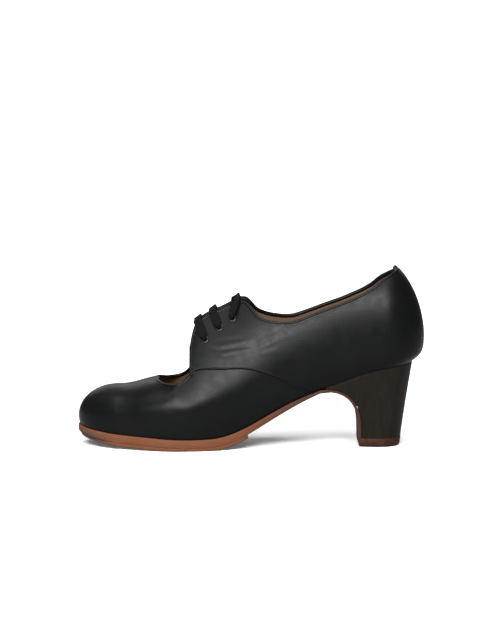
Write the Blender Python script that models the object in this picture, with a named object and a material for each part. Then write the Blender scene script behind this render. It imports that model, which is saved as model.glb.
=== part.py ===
# Flamenco shoe for the left foot: a hollow leather upper with a laced quarter over an oval
# cut-out, a leather sole that runs down the front of the heel, and a curved wooden heel.
# Metres, +Z up, toe towards -X, outer side of the foot towards -Y. The origin is on the floor
# at the middle of the top lift's underside.
import math
from collections import namedtuple

import bmesh
import bpy
import numpy as np
from mathutils import Matrix, Vector

# Sizes of the last
LAST_LENGTH = 0.2377
BACK_X = 0.029
HEEL_WIDTH = 0.054
BALL_WIDTH = 0.079
TOE_LENGTH = 0.0277
HEEL_HEIGHT = 0.0587
TOE_SPRING = 0.0066
INSTEP_RISE = 0.092
TOE_RISE = 0.0316
TOE_SWING = 0.003
TUCK_POWER = 3.2
WIDEST_ROUND = 0.1
INNER_COLLAR_RAISE = 0.0026
COLLAR_LOW = 0.47
COLLAR_REACH = 0.14

# Walls and layers
WALL = 0.0016
OVERLAP_STEP = 0.0009
FLUSH_TURN = 0.35
FIT_GAP = 0.0003
OUTSOLE = 0.0056
HALF_SOLE = 0.0022
TREAD_FLAT = 0.0005
SOLE_MARGIN = 0.0011
SOLE_BEVEL = 0.0012
STEP_LIP = 0.0004
INSOLE = 0.0024
INSOLE_INSET = 0.0022
BREAST_LEATHER = 0.0021

# Heel block and top lift
TOP_LIFT = 0.006
LIFT_FRONT_X = -0.0156
LIFT_BACK_X = 0.0143
LIFT_WIDTH = 0.033
LIFT_TAPER = 0.0012
HEEL_NOSE = 0.0009
BREAST_BOTTOM_X = -0.0132
LIFT_CENTRE = 0.1
LIFT_NARROWS = 0.12
SIDE_SHARE = 0.35
BACK_CURVE = 1.1
BREAST_CURVE = 3.0
BREAST_ROUND = 0.45
HEEL_FLARE = 1.25
BREAST_SKIVE = 0.25

# Lacing
EYELET_FLANGE = 0.0056
EYELET_BORE = 0.0032
EYELET_BARREL = 0.0042
EYELET_RIM = 0.0005
LACE_WIDTH = 0.0062
LACE_THICKNESS = 0.0012
LACE_CORD = 0.002
LACE_LIFT = 0.0021
BAR_LEAN = 0.026
KNOT_LEAN = 0.016
LEVEL_HOLD = 0.4
KNOT_LENGTH = 0.0105
KNOT_WIDTH = 0.0085
KNOT_HEIGHT = 0.0052

HEEL_POLE_X = BACK_X - HEEL_WIDTH / 2
TOE_POLE_X = BACK_X - LAST_LENGTH + TOE_LENGTH
BALL_HEIGHT = 2 * FIT_GAP + OUTSOLE + HALF_SOLE - TREAD_FLAT
LATERAL = -1
MEDIAL = 1

# Sections of the last. along runs -1 at the back of the heel, 0 beside the heel's turning
# centre, 1 beside the toe's turning centre and 2 at the tip. lift is the share of the heel's
# height and spring that of the toe spring. wide is the height of the widest place over the
# edge of the sole and rise that of the crest. lateral and medial reach out from the crest
# line to the widest place, tuck_out and tuck_in come back in below it, and full is the
# power of the curve above it.
Section = namedtuple("Section", "along lift spring wide rise lateral medial tuck_out tuck_in swing full")
HW = HEEL_WIDTH
BW = BALL_WIDTH
IR = INSTEP_RISE
TR = TOE_RISE
SECTIONS = [
    Section(-1.00, 1.00, 0.0, 0.188 * IR, 0.78 * IR, 0.50 * HW, 0.50 * HW, 0.130 * HW, 0.130 * HW, 0.0, 1.70),
    Section(0.000, 0.925, 0.0, 0.200 * IR, 0.78 * IR, 0.50 * HW, 0.50 * HW, 0.085 * HW, 0.085 * HW, 0.0, 2.05),
    Section(0.175, 0.730, 0.0, 0.228 * IR, 0.84 * IR, 0.51 * HW, 0.49 * HW, 0.085 * HW, 0.095 * HW, 0.0, 2.00),
    Section(0.339, 0.490, 0.0, 0.252 * IR, 0.86 * IR, 0.36 * BW, 0.345 * BW, 0.076 * BW, 0.100 * BW, 0.0, 1.80),
    Section(0.432, 0.311, 0.0, 0.264 * IR, 0.94 * IR, 0.38 * BW, 0.355 * BW, 0.082 * BW, 0.114 * BW, 0.0, 1.55),
    Section(0.519, 0.140, 0.0, 0.272 * IR, 1.02 * IR, 0.42 * BW, 0.38 * BW, 0.076 * BW, 0.108 * BW, 0.0, 1.30),
    Section(0.590, 0.040, 0.0, 0.270 * IR, 1.02 * IR, 0.455 * BW, 0.41 * BW, 0.063 * BW, 0.089 * BW, 0.0, 1.22),
    Section(0.639, 0.008, 0.0, 0.258 * IR, 1.02 * IR, 0.481 * BW, 0.437 * BW, 0.051 * BW, 0.070 * BW, 0.0, 1.14),
    Section(0.727, 0.000, 0.0, 0.218 * IR, 0.94 * IR, 0.513 * BW, 0.475 * BW, 0.041 * BW, 0.044 * BW, 0.0, 1.06),
    Section(0.760, 0.000, 0.02, 0.585 * TR, 1.96 * TR, 0.519 * BW, 0.482 * BW, 0.038 * BW, 0.041 * BW, 0.05, 1.20),
    Section(0.798, 0.000, 0.06, 0.53 * TR, 1.32 * TR, 0.520 * BW, 0.485 * BW, 0.035 * BW, 0.038 * BW, 0.15, 2.20),
    Section(0.873, 0.000, 0.18, 0.456 * TR, 1.18 * TR, 0.494 * BW, 0.463 * BW, 0.032 * BW, 0.032 * BW, 0.5, 2.15),
    Section(1.000, 0.000, 0.38, 0.367 * TR, 0.985 * TR, 0.400 * BW, 0.384 * BW, 0.023 * BW, 0.023 * BW, 1.0, 2.00),
    Section(1.250, 0.000, 0.55, 0.310 * TR, 0.985 * TR, 0.357 * BW, 0.350 * BW, 0.019 * BW, 0.019 * BW, 1.0, 2.00),
    Section(1.500, 0.000, 0.72, 0.270 * TR, 0.985 * TR, 0.347 * BW, 0.343 * BW, 0.016 * BW, 0.016 * BW, 1.0, 2.00),
    Section(2.000, 0.000, 1.00, 0.187 * TR, 0.985 * TR, TOE_LENGTH, TOE_LENGTH, 0.011 * BW, 0.011 * BW, 1.0, 2.00),
]

# Edges of the collar and the seam, as the share of the way from the sole's edge to the crest.
# The cut-out's edge is its height over the ball.
Edge = namedtuple("Edge", "along height")
CUT_OUT_FRONT = 0.848
TAB_FRONT = 0.727
SEAM_END = 0.264
FRONT_CORNER = 0.527
CUT_OUT = [Edge(0.738, 1.325 * TR), Edge(0.752, 1.250 * TR), Edge(0.770, 1.195 * TR), Edge(0.790, 1.170 * TR),
           Edge(0.812, 1.170 * TR), Edge(0.833, 1.190 * TR), Edge(CUT_OUT_FRONT, 1.225 * TR),
           Edge(0.858, 1.260 * TR)]
TOP_EDGE = [Edge(-1.0, 0.955), Edge(-0.5, 0.925), Edge(0.0, 0.86), Edge(0.05, 0.78), Edge(0.09, 0.74),
            Edge(0.175, 0.70), Edge(0.32, 0.69), Edge(0.41, 0.725), Edge(0.47, 0.78), Edge(0.52, 0.90), Edge(0.545, 0.92),
            Edge(0.639, 0.893), Edge(0.703, 0.85), Edge(0.718, 0.805), Edge(TAB_FRONT, 0.74)]
SEAM = [Edge(SEAM_END, 0.0), Edge(0.31, 0.09), Edge(0.36, 0.19), Edge(0.40, 0.28), Edge(0.45, 0.36),
        Edge(0.50, 0.42), Edge(0.57, 0.48), Edge(0.65, 0.51), Edge(TAB_FRONT, FRONT_CORNER)]

# Eyelets from the front one up, and the thickness of the outsole along its length
EYELETS = [Edge(0.670, 0.712), Edge(0.617, 0.778), Edge(0.569, 0.818)]
Layer = namedtuple("Layer", "along share")
OUTSOLE_LAYER = [Layer(0.20, 0.34), Layer(0.27, 0.46), Layer(0.36, 0.72), Layer(0.45, 0.88),
                 Layer(0.55, 1.0), Layer(2.0, 1.0)]
HALF_SOLE_END = 0.51
BREAST_TOP = 0.22

# Colour, roughness and metallic value of each material
FINISH = {
    "black_leather": ((0.016, 0.017, 0.018), 0.42, 0.0),
    "sole_leather": ((0.33, 0.13, 0.065), 0.6, 0.0),
    "tan_lining": ((0.30, 0.19, 0.11), 0.7, 0.0),
    "dark_wood": ((0.030, 0.022, 0.017), 0.5, 0.0),
    "red_lift": ((0.085, 0.040, 0.028), 0.55, 0.0),
    "black_enamel": ((0.012, 0.012, 0.013), 0.3, 0.6),
    "black_cotton": ((0.012, 0.012, 0.013), 0.85, 0.0),
}


def clear_scene():
    for item in list(bpy.data.objects):
        bpy.data.objects.remove(item, do_unlink=True)


def collection(name):
    group = bpy.data.collections.new(name)
    bpy.context.scene.collection.children.link(group)
    return group


def material(name):
    found = bpy.data.materials.get(name)
    if found:
        return found
    colour, roughness, metallic = FINISH[name]
    made = bpy.data.materials.new(name)
    made.use_nodes = True
    shader = made.node_tree.nodes["Principled BSDF"]
    shader.inputs["Base Color"].default_value = (*colour, 1.0)
    shader.inputs["Roughness"].default_value = roughness
    shader.inputs["Metallic"].default_value = metallic
    made.diffuse_color = (*colour, 1.0)
    return made


def smooth_through(places, values, at):
    """Rounded curve through rows that never overshoots them, level at both ends."""
    places = np.asarray(places, float)
    values = np.asarray(values, float)
    at = np.clip(np.asarray(at, float), places[0], places[-1])
    step = np.diff(places)
    slope = np.diff(values) / step
    before = slope[:-1]
    after = slope[1:]
    turning = before * after <= 0
    safe_before = np.where(turning, 1.0, before)
    safe_after = np.where(turning, 1.0, after)
    weight_before = 2 * step[1:] + step[:-1]
    weight_after = step[1:] + 2 * step[:-1]
    mean = (weight_before + weight_after) / (weight_before / safe_before + weight_after / safe_after)
    tangent = np.zeros(len(places))
    tangent[1:-1] = np.where(turning, 0.0, mean)
    row = np.clip(np.searchsorted(places, at, side="right") - 1, 0, len(step) - 1)
    share = (at - places[row]) / step[row]
    return (values[row] * (1 + 2 * share) * (1 - share) ** 2
            + values[row + 1] * share ** 2 * (3 - 2 * share)
            + step[row] * (tangent[row] * share * (1 - share) ** 2
                           - tangent[row + 1] * share ** 2 * (1 - share)))


HEEL_TURN = math.pi / 2 * HEEL_WIDTH / 2
BODY = HEEL_POLE_X - TOE_POLE_X
POLE_ROW = [row.along for row in SECTIONS].index(1.0)
TOE_TURN = math.pi / 2 * (SECTIONS[POLE_ROW].lateral + SECTIONS[POLE_ROW].medial) / 2


def unroll(along):
    """Distance along the last, so that curves pass smoothly from its sides into its ends."""
    along = np.asarray(along, float)
    return (np.minimum(along, 0) * HEEL_TURN + np.clip(along, 0, 1) * BODY
            + np.maximum(along - 1, 0) * TOE_TURN)


SECTION_PLACES = unroll([row.along for row in SECTIONS])


def column(name, along):
    return smooth_through(SECTION_PLACES, [getattr(row, name) for row in SECTIONS], unroll(along))


def edge_height(rows, along):
    return smooth_through(unroll([row[0] for row in rows]), [row[1] for row in rows], unroll(along))


def sole_line(along):
    """Height of the line where the upper meets the sole."""
    return (BALL_HEIGHT + (HEEL_HEIGHT - BALL_HEIGHT) * column("lift", along)
            + TOE_SPRING * column("spring", along))


def crest_line(along):
    beside = np.clip(along, 0, 1)
    return sole_line(beside) + column("rise", beside)


def turn_at(height, along):
    """Where on a section's curve a share of its height lies: 0 sole, 1 widest, 2 crest."""
    low = sole_line(along)
    wide = column("wide", along)
    whole = crest_line(along) - low
    above = height * whole - wide
    angle = np.arcsin(np.clip(above / (whole - wide), 0, 1))
    return np.where(above < 0, height * whole / wide, 1 + angle / (math.pi / 2))


def last_point(along, side, turn):
    """Point of the last's outside at turn 0 on the sole line, 1 at the widest, 2 on the crest."""
    along, turn = np.broadcast_arrays(np.asarray(along, float), np.asarray(turn, float))
    low = sole_line(along)
    wide = low + column("wide", along)
    crest = crest_line(along)
    reach = column("lateral" if side == LATERAL else "medial", along)
    tuck = column("tuck_out" if side == LATERAL else "tuck_in", along)
    full = column("full", along)
    under = np.maximum(1 - turn, 0)
    over = np.sin(np.clip(turn - 1, 0, 1) * math.pi / 2)
    rounding = WIDEST_ROUND * np.maximum(2 - full, 0) + 1e-9
    eased = over * over * (1 + rounding) / (over + rounding)
    out = np.where(turn < 1, reach - tuck * under ** TUCK_POWER,
                   reach * np.maximum(1 - eased ** full, 0) ** (1 / full))
    up = np.where(turn < 1, wide - (wide - low) * under, wide + (crest - wide) * over)
    heel_turn = np.clip(-along, 0, 1) * math.pi / 2
    toe_turn = np.clip(along - 1, 0, 1) * math.pi / 2
    x = HEEL_POLE_X - BODY * np.clip(along, 0, 1) + out * (np.sin(heel_turn) - np.sin(toe_turn))
    y = TOE_SWING * column("swing", along) + side * out * np.cos(heel_turn + toe_turn)
    return np.stack([x, y, up], axis=-1)


def last_normal(along, side, turn):
    small = 1e-3
    along, turn = np.broadcast_arrays(np.asarray(along, float), np.asarray(turn, float))
    near = np.clip(turn, 0, 2 - 4 * small)
    ahead = last_point(along + small, side, near) - last_point(along - small, side, near)
    upward = last_point(along, side, near + small) - last_point(along, side, near - small)
    normal = side * np.cross(ahead, upward)
    level = np.zeros_like(normal)
    slope = (crest_line(along + small) - crest_line(along - small)) / (2 * small * BODY)
    level[..., 0] = slope
    level[..., 2] = 1
    normal = np.where((turn > 2 - 1e-6)[..., None], level, normal)
    ends = (np.abs(along - 0.5) > 1.5 - 1e-6)[..., None]
    normal = np.where(ends, normal * np.array([1.0, 0.0, 1.0]), normal)
    return normal / np.linalg.norm(normal, axis=-1, keepdims=True)


def skin(along, side, turn, offset):
    return last_point(along, side, turn) + offset * last_normal(along, side, turn)


def add_grid(mesh, points):
    """Faces between neighbouring rows of points."""
    rows, columns = points.shape[:2]
    verts = [[mesh.verts.new(points[r, c]) for c in range(columns)] for r in range(rows)]
    for r in range(rows - 1):
        for c in range(columns - 1):
            mesh.faces.new((verts[r][c], verts[r][c + 1], verts[r + 1][c + 1], verts[r + 1][c]))


def add_fill(mesh, points):
    mesh.faces.new([mesh.verts.new(point) for point in points])


def finish_object(name, mesh, finish, group, sharp_angle=35):
    """Weld a mesh into one closed body and put it in the scene."""
    bmesh.ops.remove_doubles(mesh, verts=mesh.verts, dist=2e-6)
    bmesh.ops.recalc_face_normals(mesh, faces=mesh.faces)
    data = bpy.data.meshes.new(name)
    mesh.to_mesh(data)
    mesh.free()
    data.shade_smooth()
    data.set_sharp_from_angle(angle=math.radians(sharp_angle))
    made = bpy.data.objects.new(name, data)
    made.data.materials.append(material(finish))
    group.objects.link(made)
    return made


def loft(name, loops, finish, group):
    """Closed body through rings of points, with a flat cap on each end."""
    mesh = bmesh.new()
    loops = np.asarray(loops)
    add_grid(mesh, np.concatenate([loops, loops[:, :1]], axis=1))
    add_fill(mesh, loops[0])
    add_fill(mesh, loops[-1])
    return finish_object(name, mesh, finish, group)


def boolean(target, other, operation):
    tool = target.modifiers.new(operation.lower() + "_" + other.name, "BOOLEAN")
    tool.operation = operation
    tool.object = other
    tool.solver = "EXACT"


def hide_cutter(cutter):
    cutter.hide_render = True
    cutter.display_type = "WIRE"


def cut_out_edge(along):
    """The cut-out's edge as a share of the way from the sole's edge to the crest."""
    low = sole_line(TAB_FRONT)
    corner = low + FRONT_CORNER * (crest_line(TAB_FRONT) - low) - BALL_HEIGHT
    height = BALL_HEIGHT + edge_height([Edge(TAB_FRONT, corner)] + CUT_OUT, along)
    return (height - sole_line(along)) / (crest_line(along) - sole_line(along))


def vamp_top(along):
    """Top of the vamp: crest, then the cut-out's edge, then the seam under the quarter."""
    behind = np.where(along < TAB_FRONT, edge_height(SEAM, along), cut_out_edge(along))
    return np.where(along >= CUT_OUT_FRONT, 2.0, turn_at(behind, along))


def vamp_rows(along, shares, top):
    """Turns of the vamp's rows, which run on evenly in front of the cut-out."""
    corner = float(turn_at(cut_out_edge(CUT_OUT_FRONT), CUT_OUT_FRONT))
    ahead = np.clip((1 - along) / (1 - CUT_OUT_FRONT), 0, 1)
    rows = shares[:, None] * np.where(along >= CUT_OUT_FRONT, 2 - (2 - corner) * ahead ** 2, top)
    rows[-1] = top
    return rows


def quarter_foot(along):
    return np.where(along > SEAM_END, turn_at(edge_height(SEAM, along), along), 0.0)


def quarter_top(along, side):
    """Lacing edge and collar. The collar dips a little less on the inner side of the foot."""
    raised = INNER_COLLAR_RAISE / INSTEP_RISE * np.exp(-((along - COLLAR_LOW) / COLLAR_REACH) ** 2)
    return turn_at(edge_height(TOP_EDGE, along) + (raised if side == MEDIAL else 0), along)


def build_upper(group, cutters):
    """One hollow wall: vamp, and quarters that stand proud of it along their seam."""
    toe = np.linspace(2.0, 1.0, 9)
    front = np.linspace(1.0, CUT_OUT_FRONT, 5)[1:]
    oval = CUT_OUT_FRONT - (CUT_OUT_FRONT - TAB_FRONT) * (1 - np.cos(np.linspace(0, math.pi / 2, 9)[1:]))
    lap = np.concatenate([TAB_FRONT - np.array([0, 0.003, 0.009, 0.019]),
                          np.linspace(0.69, SEAM_END, 14)])
    rear = np.concatenate([lap, np.linspace(SEAM_END, 0, 7)[1:], np.linspace(0, -1, 9)[1:]])
    vamp = np.concatenate([toe, front, oval[:-1], lap])
    cut_from = len(toe) + len(front) - 1
    cut_to = len(vamp) - len(lap)
    seam = len(lap)
    mesh = bmesh.new()
    for side in (LATERAL, MEDIAL):
        vamp_turn = vamp_rows(vamp, np.linspace(0, 1, 9), vamp_top(vamp))
        foot = quarter_foot(rear)
        quarter_turn = foot + np.linspace(0, 1, 8)[:, None] * (quarter_top(rear, side) - foot)
        vamp_out = skin(vamp, side, vamp_turn, 0)
        vamp_in = skin(vamp, side, vamp_turn, -WALL)
        proud = np.broadcast_to(rear, quarter_turn.shape).copy()
        proud[:, 0] += OVERLAP_STEP / BODY
        proud[0, seam - 1] -= 2 * OVERLAP_STEP / BODY
        flush = np.clip(quarter_turn / FLUSH_TURN, 0, 1)[..., None]
        quarter_out = skin(proud, side, quarter_turn, OVERLAP_STEP * flush)
        quarter_in = skin(rear, side, quarter_turn, -WALL)
        for points in (vamp_out, vamp_in, quarter_out, quarter_in):
            add_grid(mesh, points)
        add_grid(mesh, np.stack([vamp_out[-1, cut_to:], quarter_out[0, :seam]]))
        add_grid(mesh, np.stack([vamp_out[-1, cut_from:cut_to + 1], vamp_in[-1, cut_from:cut_to + 1]]))
        add_grid(mesh, np.stack([quarter_out[:, 0], quarter_in[:, 0]]))
        add_grid(mesh, np.stack([quarter_out[-1], quarter_in[-1]]))
        add_grid(mesh, np.stack([vamp_out[0], vamp_in[0]]))
        add_grid(mesh, np.stack([quarter_out[0, seam - 1:], quarter_in[0, seam - 1:]]))
        add_fill(mesh, [vamp_out[-1, cut_to], quarter_out[0, 0], quarter_in[0, 0]])
        add_fill(mesh, [vamp_out[0, -1], quarter_out[0, seam - 1], quarter_in[0, seam - 1]])
    upper = finish_object("upper", mesh, "black_leather", group)
    for side in (LATERAL, MEDIAL):
        for number, spot in enumerate(EYELETS, 1):
            bore = eyelet_bore(side, spot, side_name(side) + "_bore_" + str(number), cutters)
            boolean(upper, bore, "DIFFERENCE")
    return upper


def side_name(side):
    return "lateral" if side == LATERAL else "medial"


def eyelet_frame(side, spot):
    """Matrix at an eyelet: its Z axis stands out of the quarter's outside."""
    turn = turn_at(spot.height, spot.along)
    place = Vector(skin(spot.along, side, turn, OVERLAP_STEP))
    normal = Vector(last_normal(spot.along, side, turn))
    return Matrix.Translation(place) @ normal.to_track_quat("Z", "X").to_matrix().to_4x4()


def eyelet_bore(side, spot, name, cutters):
    mesh = bmesh.new()
    radius = EYELET_BARREL / 2 + FIT_GAP
    depth = 4 * (WALL + OVERLAP_STEP)
    bmesh.ops.create_cone(mesh, cap_ends=True, segments=16, radius1=radius, radius2=radius, depth=depth,
                          matrix=eyelet_frame(side, spot))
    bore = finish_object(name, mesh, "black_enamel", cutters)
    hide_cutter(bore)
    return bore


def build_eyelet(side, number, spot, group):
    """Ring with a rounded flange outside and a plain barrel through the quarter."""
    barrel = EYELET_BARREL / 2
    bore = EYELET_BORE / 2
    flange = EYELET_FLANGE / 2
    base = FIT_GAP
    top = base + EYELET_RIM
    bottom = -(WALL + OVERLAP_STEP)
    profile = [(bore, bottom), (bore, top - EYELET_RIM / 3), (bore + EYELET_RIM / 2, top),
               (flange - EYELET_RIM / 2, top), (flange, base + EYELET_RIM / 3), (flange, base),
               (barrel, base), (barrel, bottom)]
    turns = np.linspace(0, 2 * math.pi, 16, endpoint=False)
    frame = eyelet_frame(side, spot)
    loops = [[frame @ Vector((r * math.cos(a), r * math.sin(a), z)) for r, z in profile] for a in turns]
    mesh = bmesh.new()
    points = np.array(loops + loops[:1])
    add_grid(mesh, np.concatenate([points, points[:, :1]], axis=1))
    return finish_object("eyelet_" + side_name(side) + "_" + str(number), mesh, "black_enamel", group)


def through_points(stops, count):
    """Smooth run of points through the stops, count of them to each stretch."""
    stops = np.array(stops, float)
    step = np.linalg.norm(np.diff(stops[:, :3], axis=0), axis=1)[:, None]
    slope = np.diff(stops, axis=0) / step
    tangent = np.concatenate([slope[:1], slope])
    tangent[1:-1] = (slope[:-1] * step[1:] + slope[1:] * step[:-1]) / (step[1:] + step[:-1])
    points = []
    for i in range(len(step)):
        for share in np.arange(count) / count:
            points.append(stops[i] * (1 + 2 * share) * (1 - share) ** 2
                          + stops[i + 1] * share ** 2 * (3 - 2 * share)
                          + step[i] * (tangent[i] * share * (1 - share) ** 2
                                       - tangent[i + 1] * share ** 2 * (1 - share)))
    return np.array(points + [stops[-1]])


def band_loops(stops, flat_towards, count=3, sides=8):
    """Oval rings along a lace. A stop is x, y, z, half its width and half its thickness."""
    run = through_points(stops, count)
    level = Vector(flat_towards)
    wide = level
    loops = []
    for i, (x, y, z, half_width, half_thickness) in enumerate(run):
        tangent = Vector(run[min(i + 1, len(run) - 1)][:3] - run[max(i - 1, 0)][:3]).normalized()
        wide = (wide - tangent * wide.dot(tangent)).normalized()
        wanted = level - tangent * level.dot(tangent)
        if wanted.length > LEVEL_HOLD:
            wanted = wanted if wanted.dot(wide) > 0 else -wanted
            wide = (wide + wanted.normalized()).normalized()
        thin = tangent.cross(wide)
        centre = Vector((x, y, z))
        angles = np.linspace(0, 2 * math.pi, sides, endpoint=False)
        loops.append([centre + wide * half_width * math.cos(a) + thin * half_thickness * math.sin(a)
                      for a in angles])
    return loops


def lacing_direction():
    """Unit vector up the lacing edge, seen from the side."""
    ends = [last_point(spot.along, LATERAL, turn_at(spot.height, spot.along)) for spot in EYELETS]
    rise = Vector(ends[-1] - ends[0])
    rise.y = 0
    return rise.normalized()


def hole_stops(side, spot, outwards):
    """A lace's way through an eyelet, round and clear of its bore."""
    frame = eyelet_frame(side, spot)
    cord = LACE_CORD / 2
    inside = -(WALL + OVERLAP_STEP) - 2 * FIT_GAP - cord
    heights = [inside, inside / 2, EYELET_RIM + 2 * FIT_GAP]
    stops = [(*(frame @ Vector((0, 0, height))), cord, cord) for height in heights]
    return stops if outwards else stops[::-1]


Lay = namedtuple("Lay", "share lift width")
LAYS = [Lay(0.12, 1.3, 0.6), Lay(0.4, 1.1, 1.0), Lay(0.75, 0.85, 1.0)]


def surface_stops(side, spot, edge_along):
    """From an eyelet over the quarter to its lacing edge, then level over that edge."""
    half_width = LACE_WIDTH / 2
    half = LACE_THICKNESS / 2
    start = float(turn_at(spot.height, spot.along))
    end = float(quarter_top(edge_along, side))
    stops = []
    for lay in LAYS:
        along = spot.along + (edge_along - spot.along) * lay.share
        place = skin(along, side, start + (end - start) * lay.share, OVERLAP_STEP + LACE_LIFT * lay.lift)
        stops.append((*place, half_width * lay.width, half))
    rim = skin(edge_along, side, end, OVERLAP_STEP + 0.75 * LACE_LIFT)
    rim[2] += LACE_LIFT / 4
    stops.append((*rim, half_width, half))
    inward = rim - np.array([0, side * 1.5 * LACE_LIFT, -LACE_LIFT / 8])
    stops.append((*inward, half_width, half))
    return stops


def build_lace(group):
    """Two bars and the runs behind them, one lace through all six eyelets."""
    first, second, third = EYELETS
    ways = []
    for spot in (second, first):
        outer = surface_stops(LATERAL, spot, spot.along + BAR_LEAN)
        inner = surface_stops(MEDIAL, spot, spot.along + BAR_LEAN)[::-1]
        middle = (np.array(outer[-1]) + np.array(inner[0])) / 2
        middle[2] -= LACE_LIFT / 2
        ways.append(outer + [tuple(middle)] + inner)
    stops = hole_stops(LATERAL, third, False) + hole_stops(LATERAL, second, True) + ways[0]
    stops += hole_stops(MEDIAL, second, False) + hole_stops(MEDIAL, first, True) + ways[1][::-1]
    stops += hole_stops(LATERAL, first, False) + hole_stops(MEDIAL, third, True)
    return loft("lace", band_loops(stops, lacing_direction()), "black_cotton", group)


def build_knot(group, cutters):
    """Knot on top of the lacing, with the two ends that come to it from the top eyelets."""
    third = EYELETS[-1]
    edge_along = third.along - KNOT_LEAN
    rims = [np.array(surface_stops(side, third, edge_along)[-1][:3]) for side in (LATERAL, MEDIAL)]
    centre = (rims[0] + rims[1]) / 2 + np.array([KNOT_LENGTH / 5, 0, -KNOT_HEIGHT / 5])
    mesh = bmesh.new()
    shape = Matrix.LocRotScale(Vector(centre), None, Vector((KNOT_LENGTH, KNOT_WIDTH, KNOT_HEIGHT)) / 2)
    bmesh.ops.create_uvsphere(mesh, u_segments=16, v_segments=10, radius=1, matrix=shape)
    knot = finish_object("lace_knot", mesh, "black_cotton", group)
    for side in (LATERAL, MEDIAL):
        start = hole_stops(side, third, True)[-1]
        out = Vector(last_normal(third.along, side, turn_at(third.height, third.along)))
        first = Vector(start[:3]) + out * FIT_GAP
        second = first + out * LACE_CORD / 2
        stops = [(*first, start[3], start[4]), (*second, start[3], start[4])]
        stops += surface_stops(side, third, edge_along)[1:]
        stops.append((*centre, LACE_WIDTH / 3, LACE_THICKNESS / 2))
        end = loft(side_name(side) + "_lace_end", band_loops(stops, lacing_direction()), "black_cotton", cutters)
        hide_cutter(end)
        boolean(knot, end, "UNION")
    return knot


def across(along, side_shares, inset, height):
    """Points across the last at one place, from the outer side to the inner one."""
    ends = []
    for side in (LATERAL, MEDIAL):
        edge = last_point(along, side, 0.0)
        heel_turn = np.clip(-along, 0, 1) * math.pi / 2
        toe_turn = np.clip(along - 1, 0, 1) * math.pi / 2
        edge[0] -= inset * (math.sin(heel_turn) - math.sin(toe_turn))
        edge[1] -= side * inset * math.cos(heel_turn + toe_turn)
        edge[2] = height
        ends.append(edge)
    middle = (ends[0] + ends[1]) / 2
    half = (ends[1] - ends[0]) / 2
    return [middle + share * half for share in side_shares]


TOP_SHARES = (-1, -0.5, 0, 0.5, 1)
UNDER_SHARES = (1, 0.5, 0, -0.5, -1)


def sole_layer(along):
    return OUTSOLE * float(edge_height(OUTSOLE_LAYER, along))


def outsole_under(along):
    return float(sole_line(along)) - FIT_GAP - sole_layer(along)


def heel_path(front, rise):
    """How far a side of the heel has gone from its foot to its top at a share of its height."""
    plain = rise ** BACK_CURVE
    breast = 1 - (1 - rise ** BREAST_CURVE) ** BREAST_ROUND
    return plain + (breast - plain) * front ** 2


def heel_foot(front, side):
    """Foot of the heel: straight front, sides that widen a little, round back."""
    centre = HEEL_POLE_X - LIFT_CENTRE * LIFT_WIDTH
    half = LIFT_WIDTH / 2 - FIT_GAP
    back = LIFT_BACK_X - centre
    if front <= 0:
        angle = (1 + front) * math.pi / 2
        return centre + back * math.cos(angle), side * half * math.sin(angle)
    return centre + front * (BREAST_BOTTOM_X - centre), side * half * (1 - LIFT_NARROWS * front ** 2)


def heel_side_point(place, side, rise):
    """Point on the heel's wall. place is -1 at the back and 1 at the front corner."""
    along = place * BREAST_TOP if place > 0 else place
    foot_x, foot_y = heel_foot(place, side)
    top = last_point(along, side, 0.0)
    low = TOP_LIFT + FIT_GAP
    high = top[2] - FIT_GAP - HEEL_NOSE
    front = SIDE_SHARE * (1 + place) if place < 0 else SIDE_SHARE + (1 - SIDE_SHARE) * place
    went = heel_path(front, rise)
    return np.array([foot_x + (top[0] - foot_x) * went, foot_y + (top[1] - foot_y) * rise ** HEEL_FLARE,
                     low + (high - low) * rise])


def breast_row(rise, shares):
    """Points across the front of the heel, between its two front corners."""
    outer = heel_side_point(1.0, LATERAL, rise)
    inner = heel_side_point(1.0, MEDIAL, rise)
    return [(outer + inner) / 2 + share * (inner - outer) / 2 for share in shares]


def build_heel(group):
    rises = np.concatenate([np.linspace(0, 0.8, 8), [0.88, 0.94, 0.98, 1.0]])
    places = np.concatenate([np.linspace(1, 0, 6), np.linspace(0, -1, 9)[1:]])
    loops = []
    for rise in rises:
        loop = [heel_side_point(place, LATERAL, rise) for place in places]
        loop += [heel_side_point(place, MEDIAL, rise) for place in places[-2::-1]]
        loop += breast_row(rise, (0.6, 0.2, -0.2, -0.6))
        loops.append(loop)
    loops.append([point + np.array([0, 0, HEEL_NOSE]) for point in loops[-1]])
    return loft("heel", loops, "dark_wood", group)


def build_top_lift(group):
    """Layer under the heel and the end of the sole leather, drawn in a little at the floor."""
    centre = HEEL_POLE_X - LIFT_CENTRE * LIFT_WIDTH
    half = LIFT_WIDTH / 2
    outline = []
    for angle in np.linspace(0, math.pi / 2, 8):
        outline.append(((LIFT_BACK_X - centre) * math.cos(angle), half * math.sin(angle)))
    outline.append((LIFT_FRONT_X - centre + LIFT_TAPER, half * (1 - LIFT_NARROWS * 0.8)))
    outline.append((LIFT_FRONT_X - centre, half * (1 - LIFT_NARROWS * 1.2)))
    outline += [(x, -y) for x, y in outline[:0:-1]]
    loops = []
    for height, drawn in ((0.0, LIFT_TAPER), (TOP_LIFT / 3, LIFT_TAPER / 3), (TOP_LIFT, 0.0)):
        loops.append([(centre + x * (1 - drawn / half), y * (1 - drawn / half), height) for x, y in outline])
    return loft("top_lift", loops, "red_lift", group)


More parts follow.
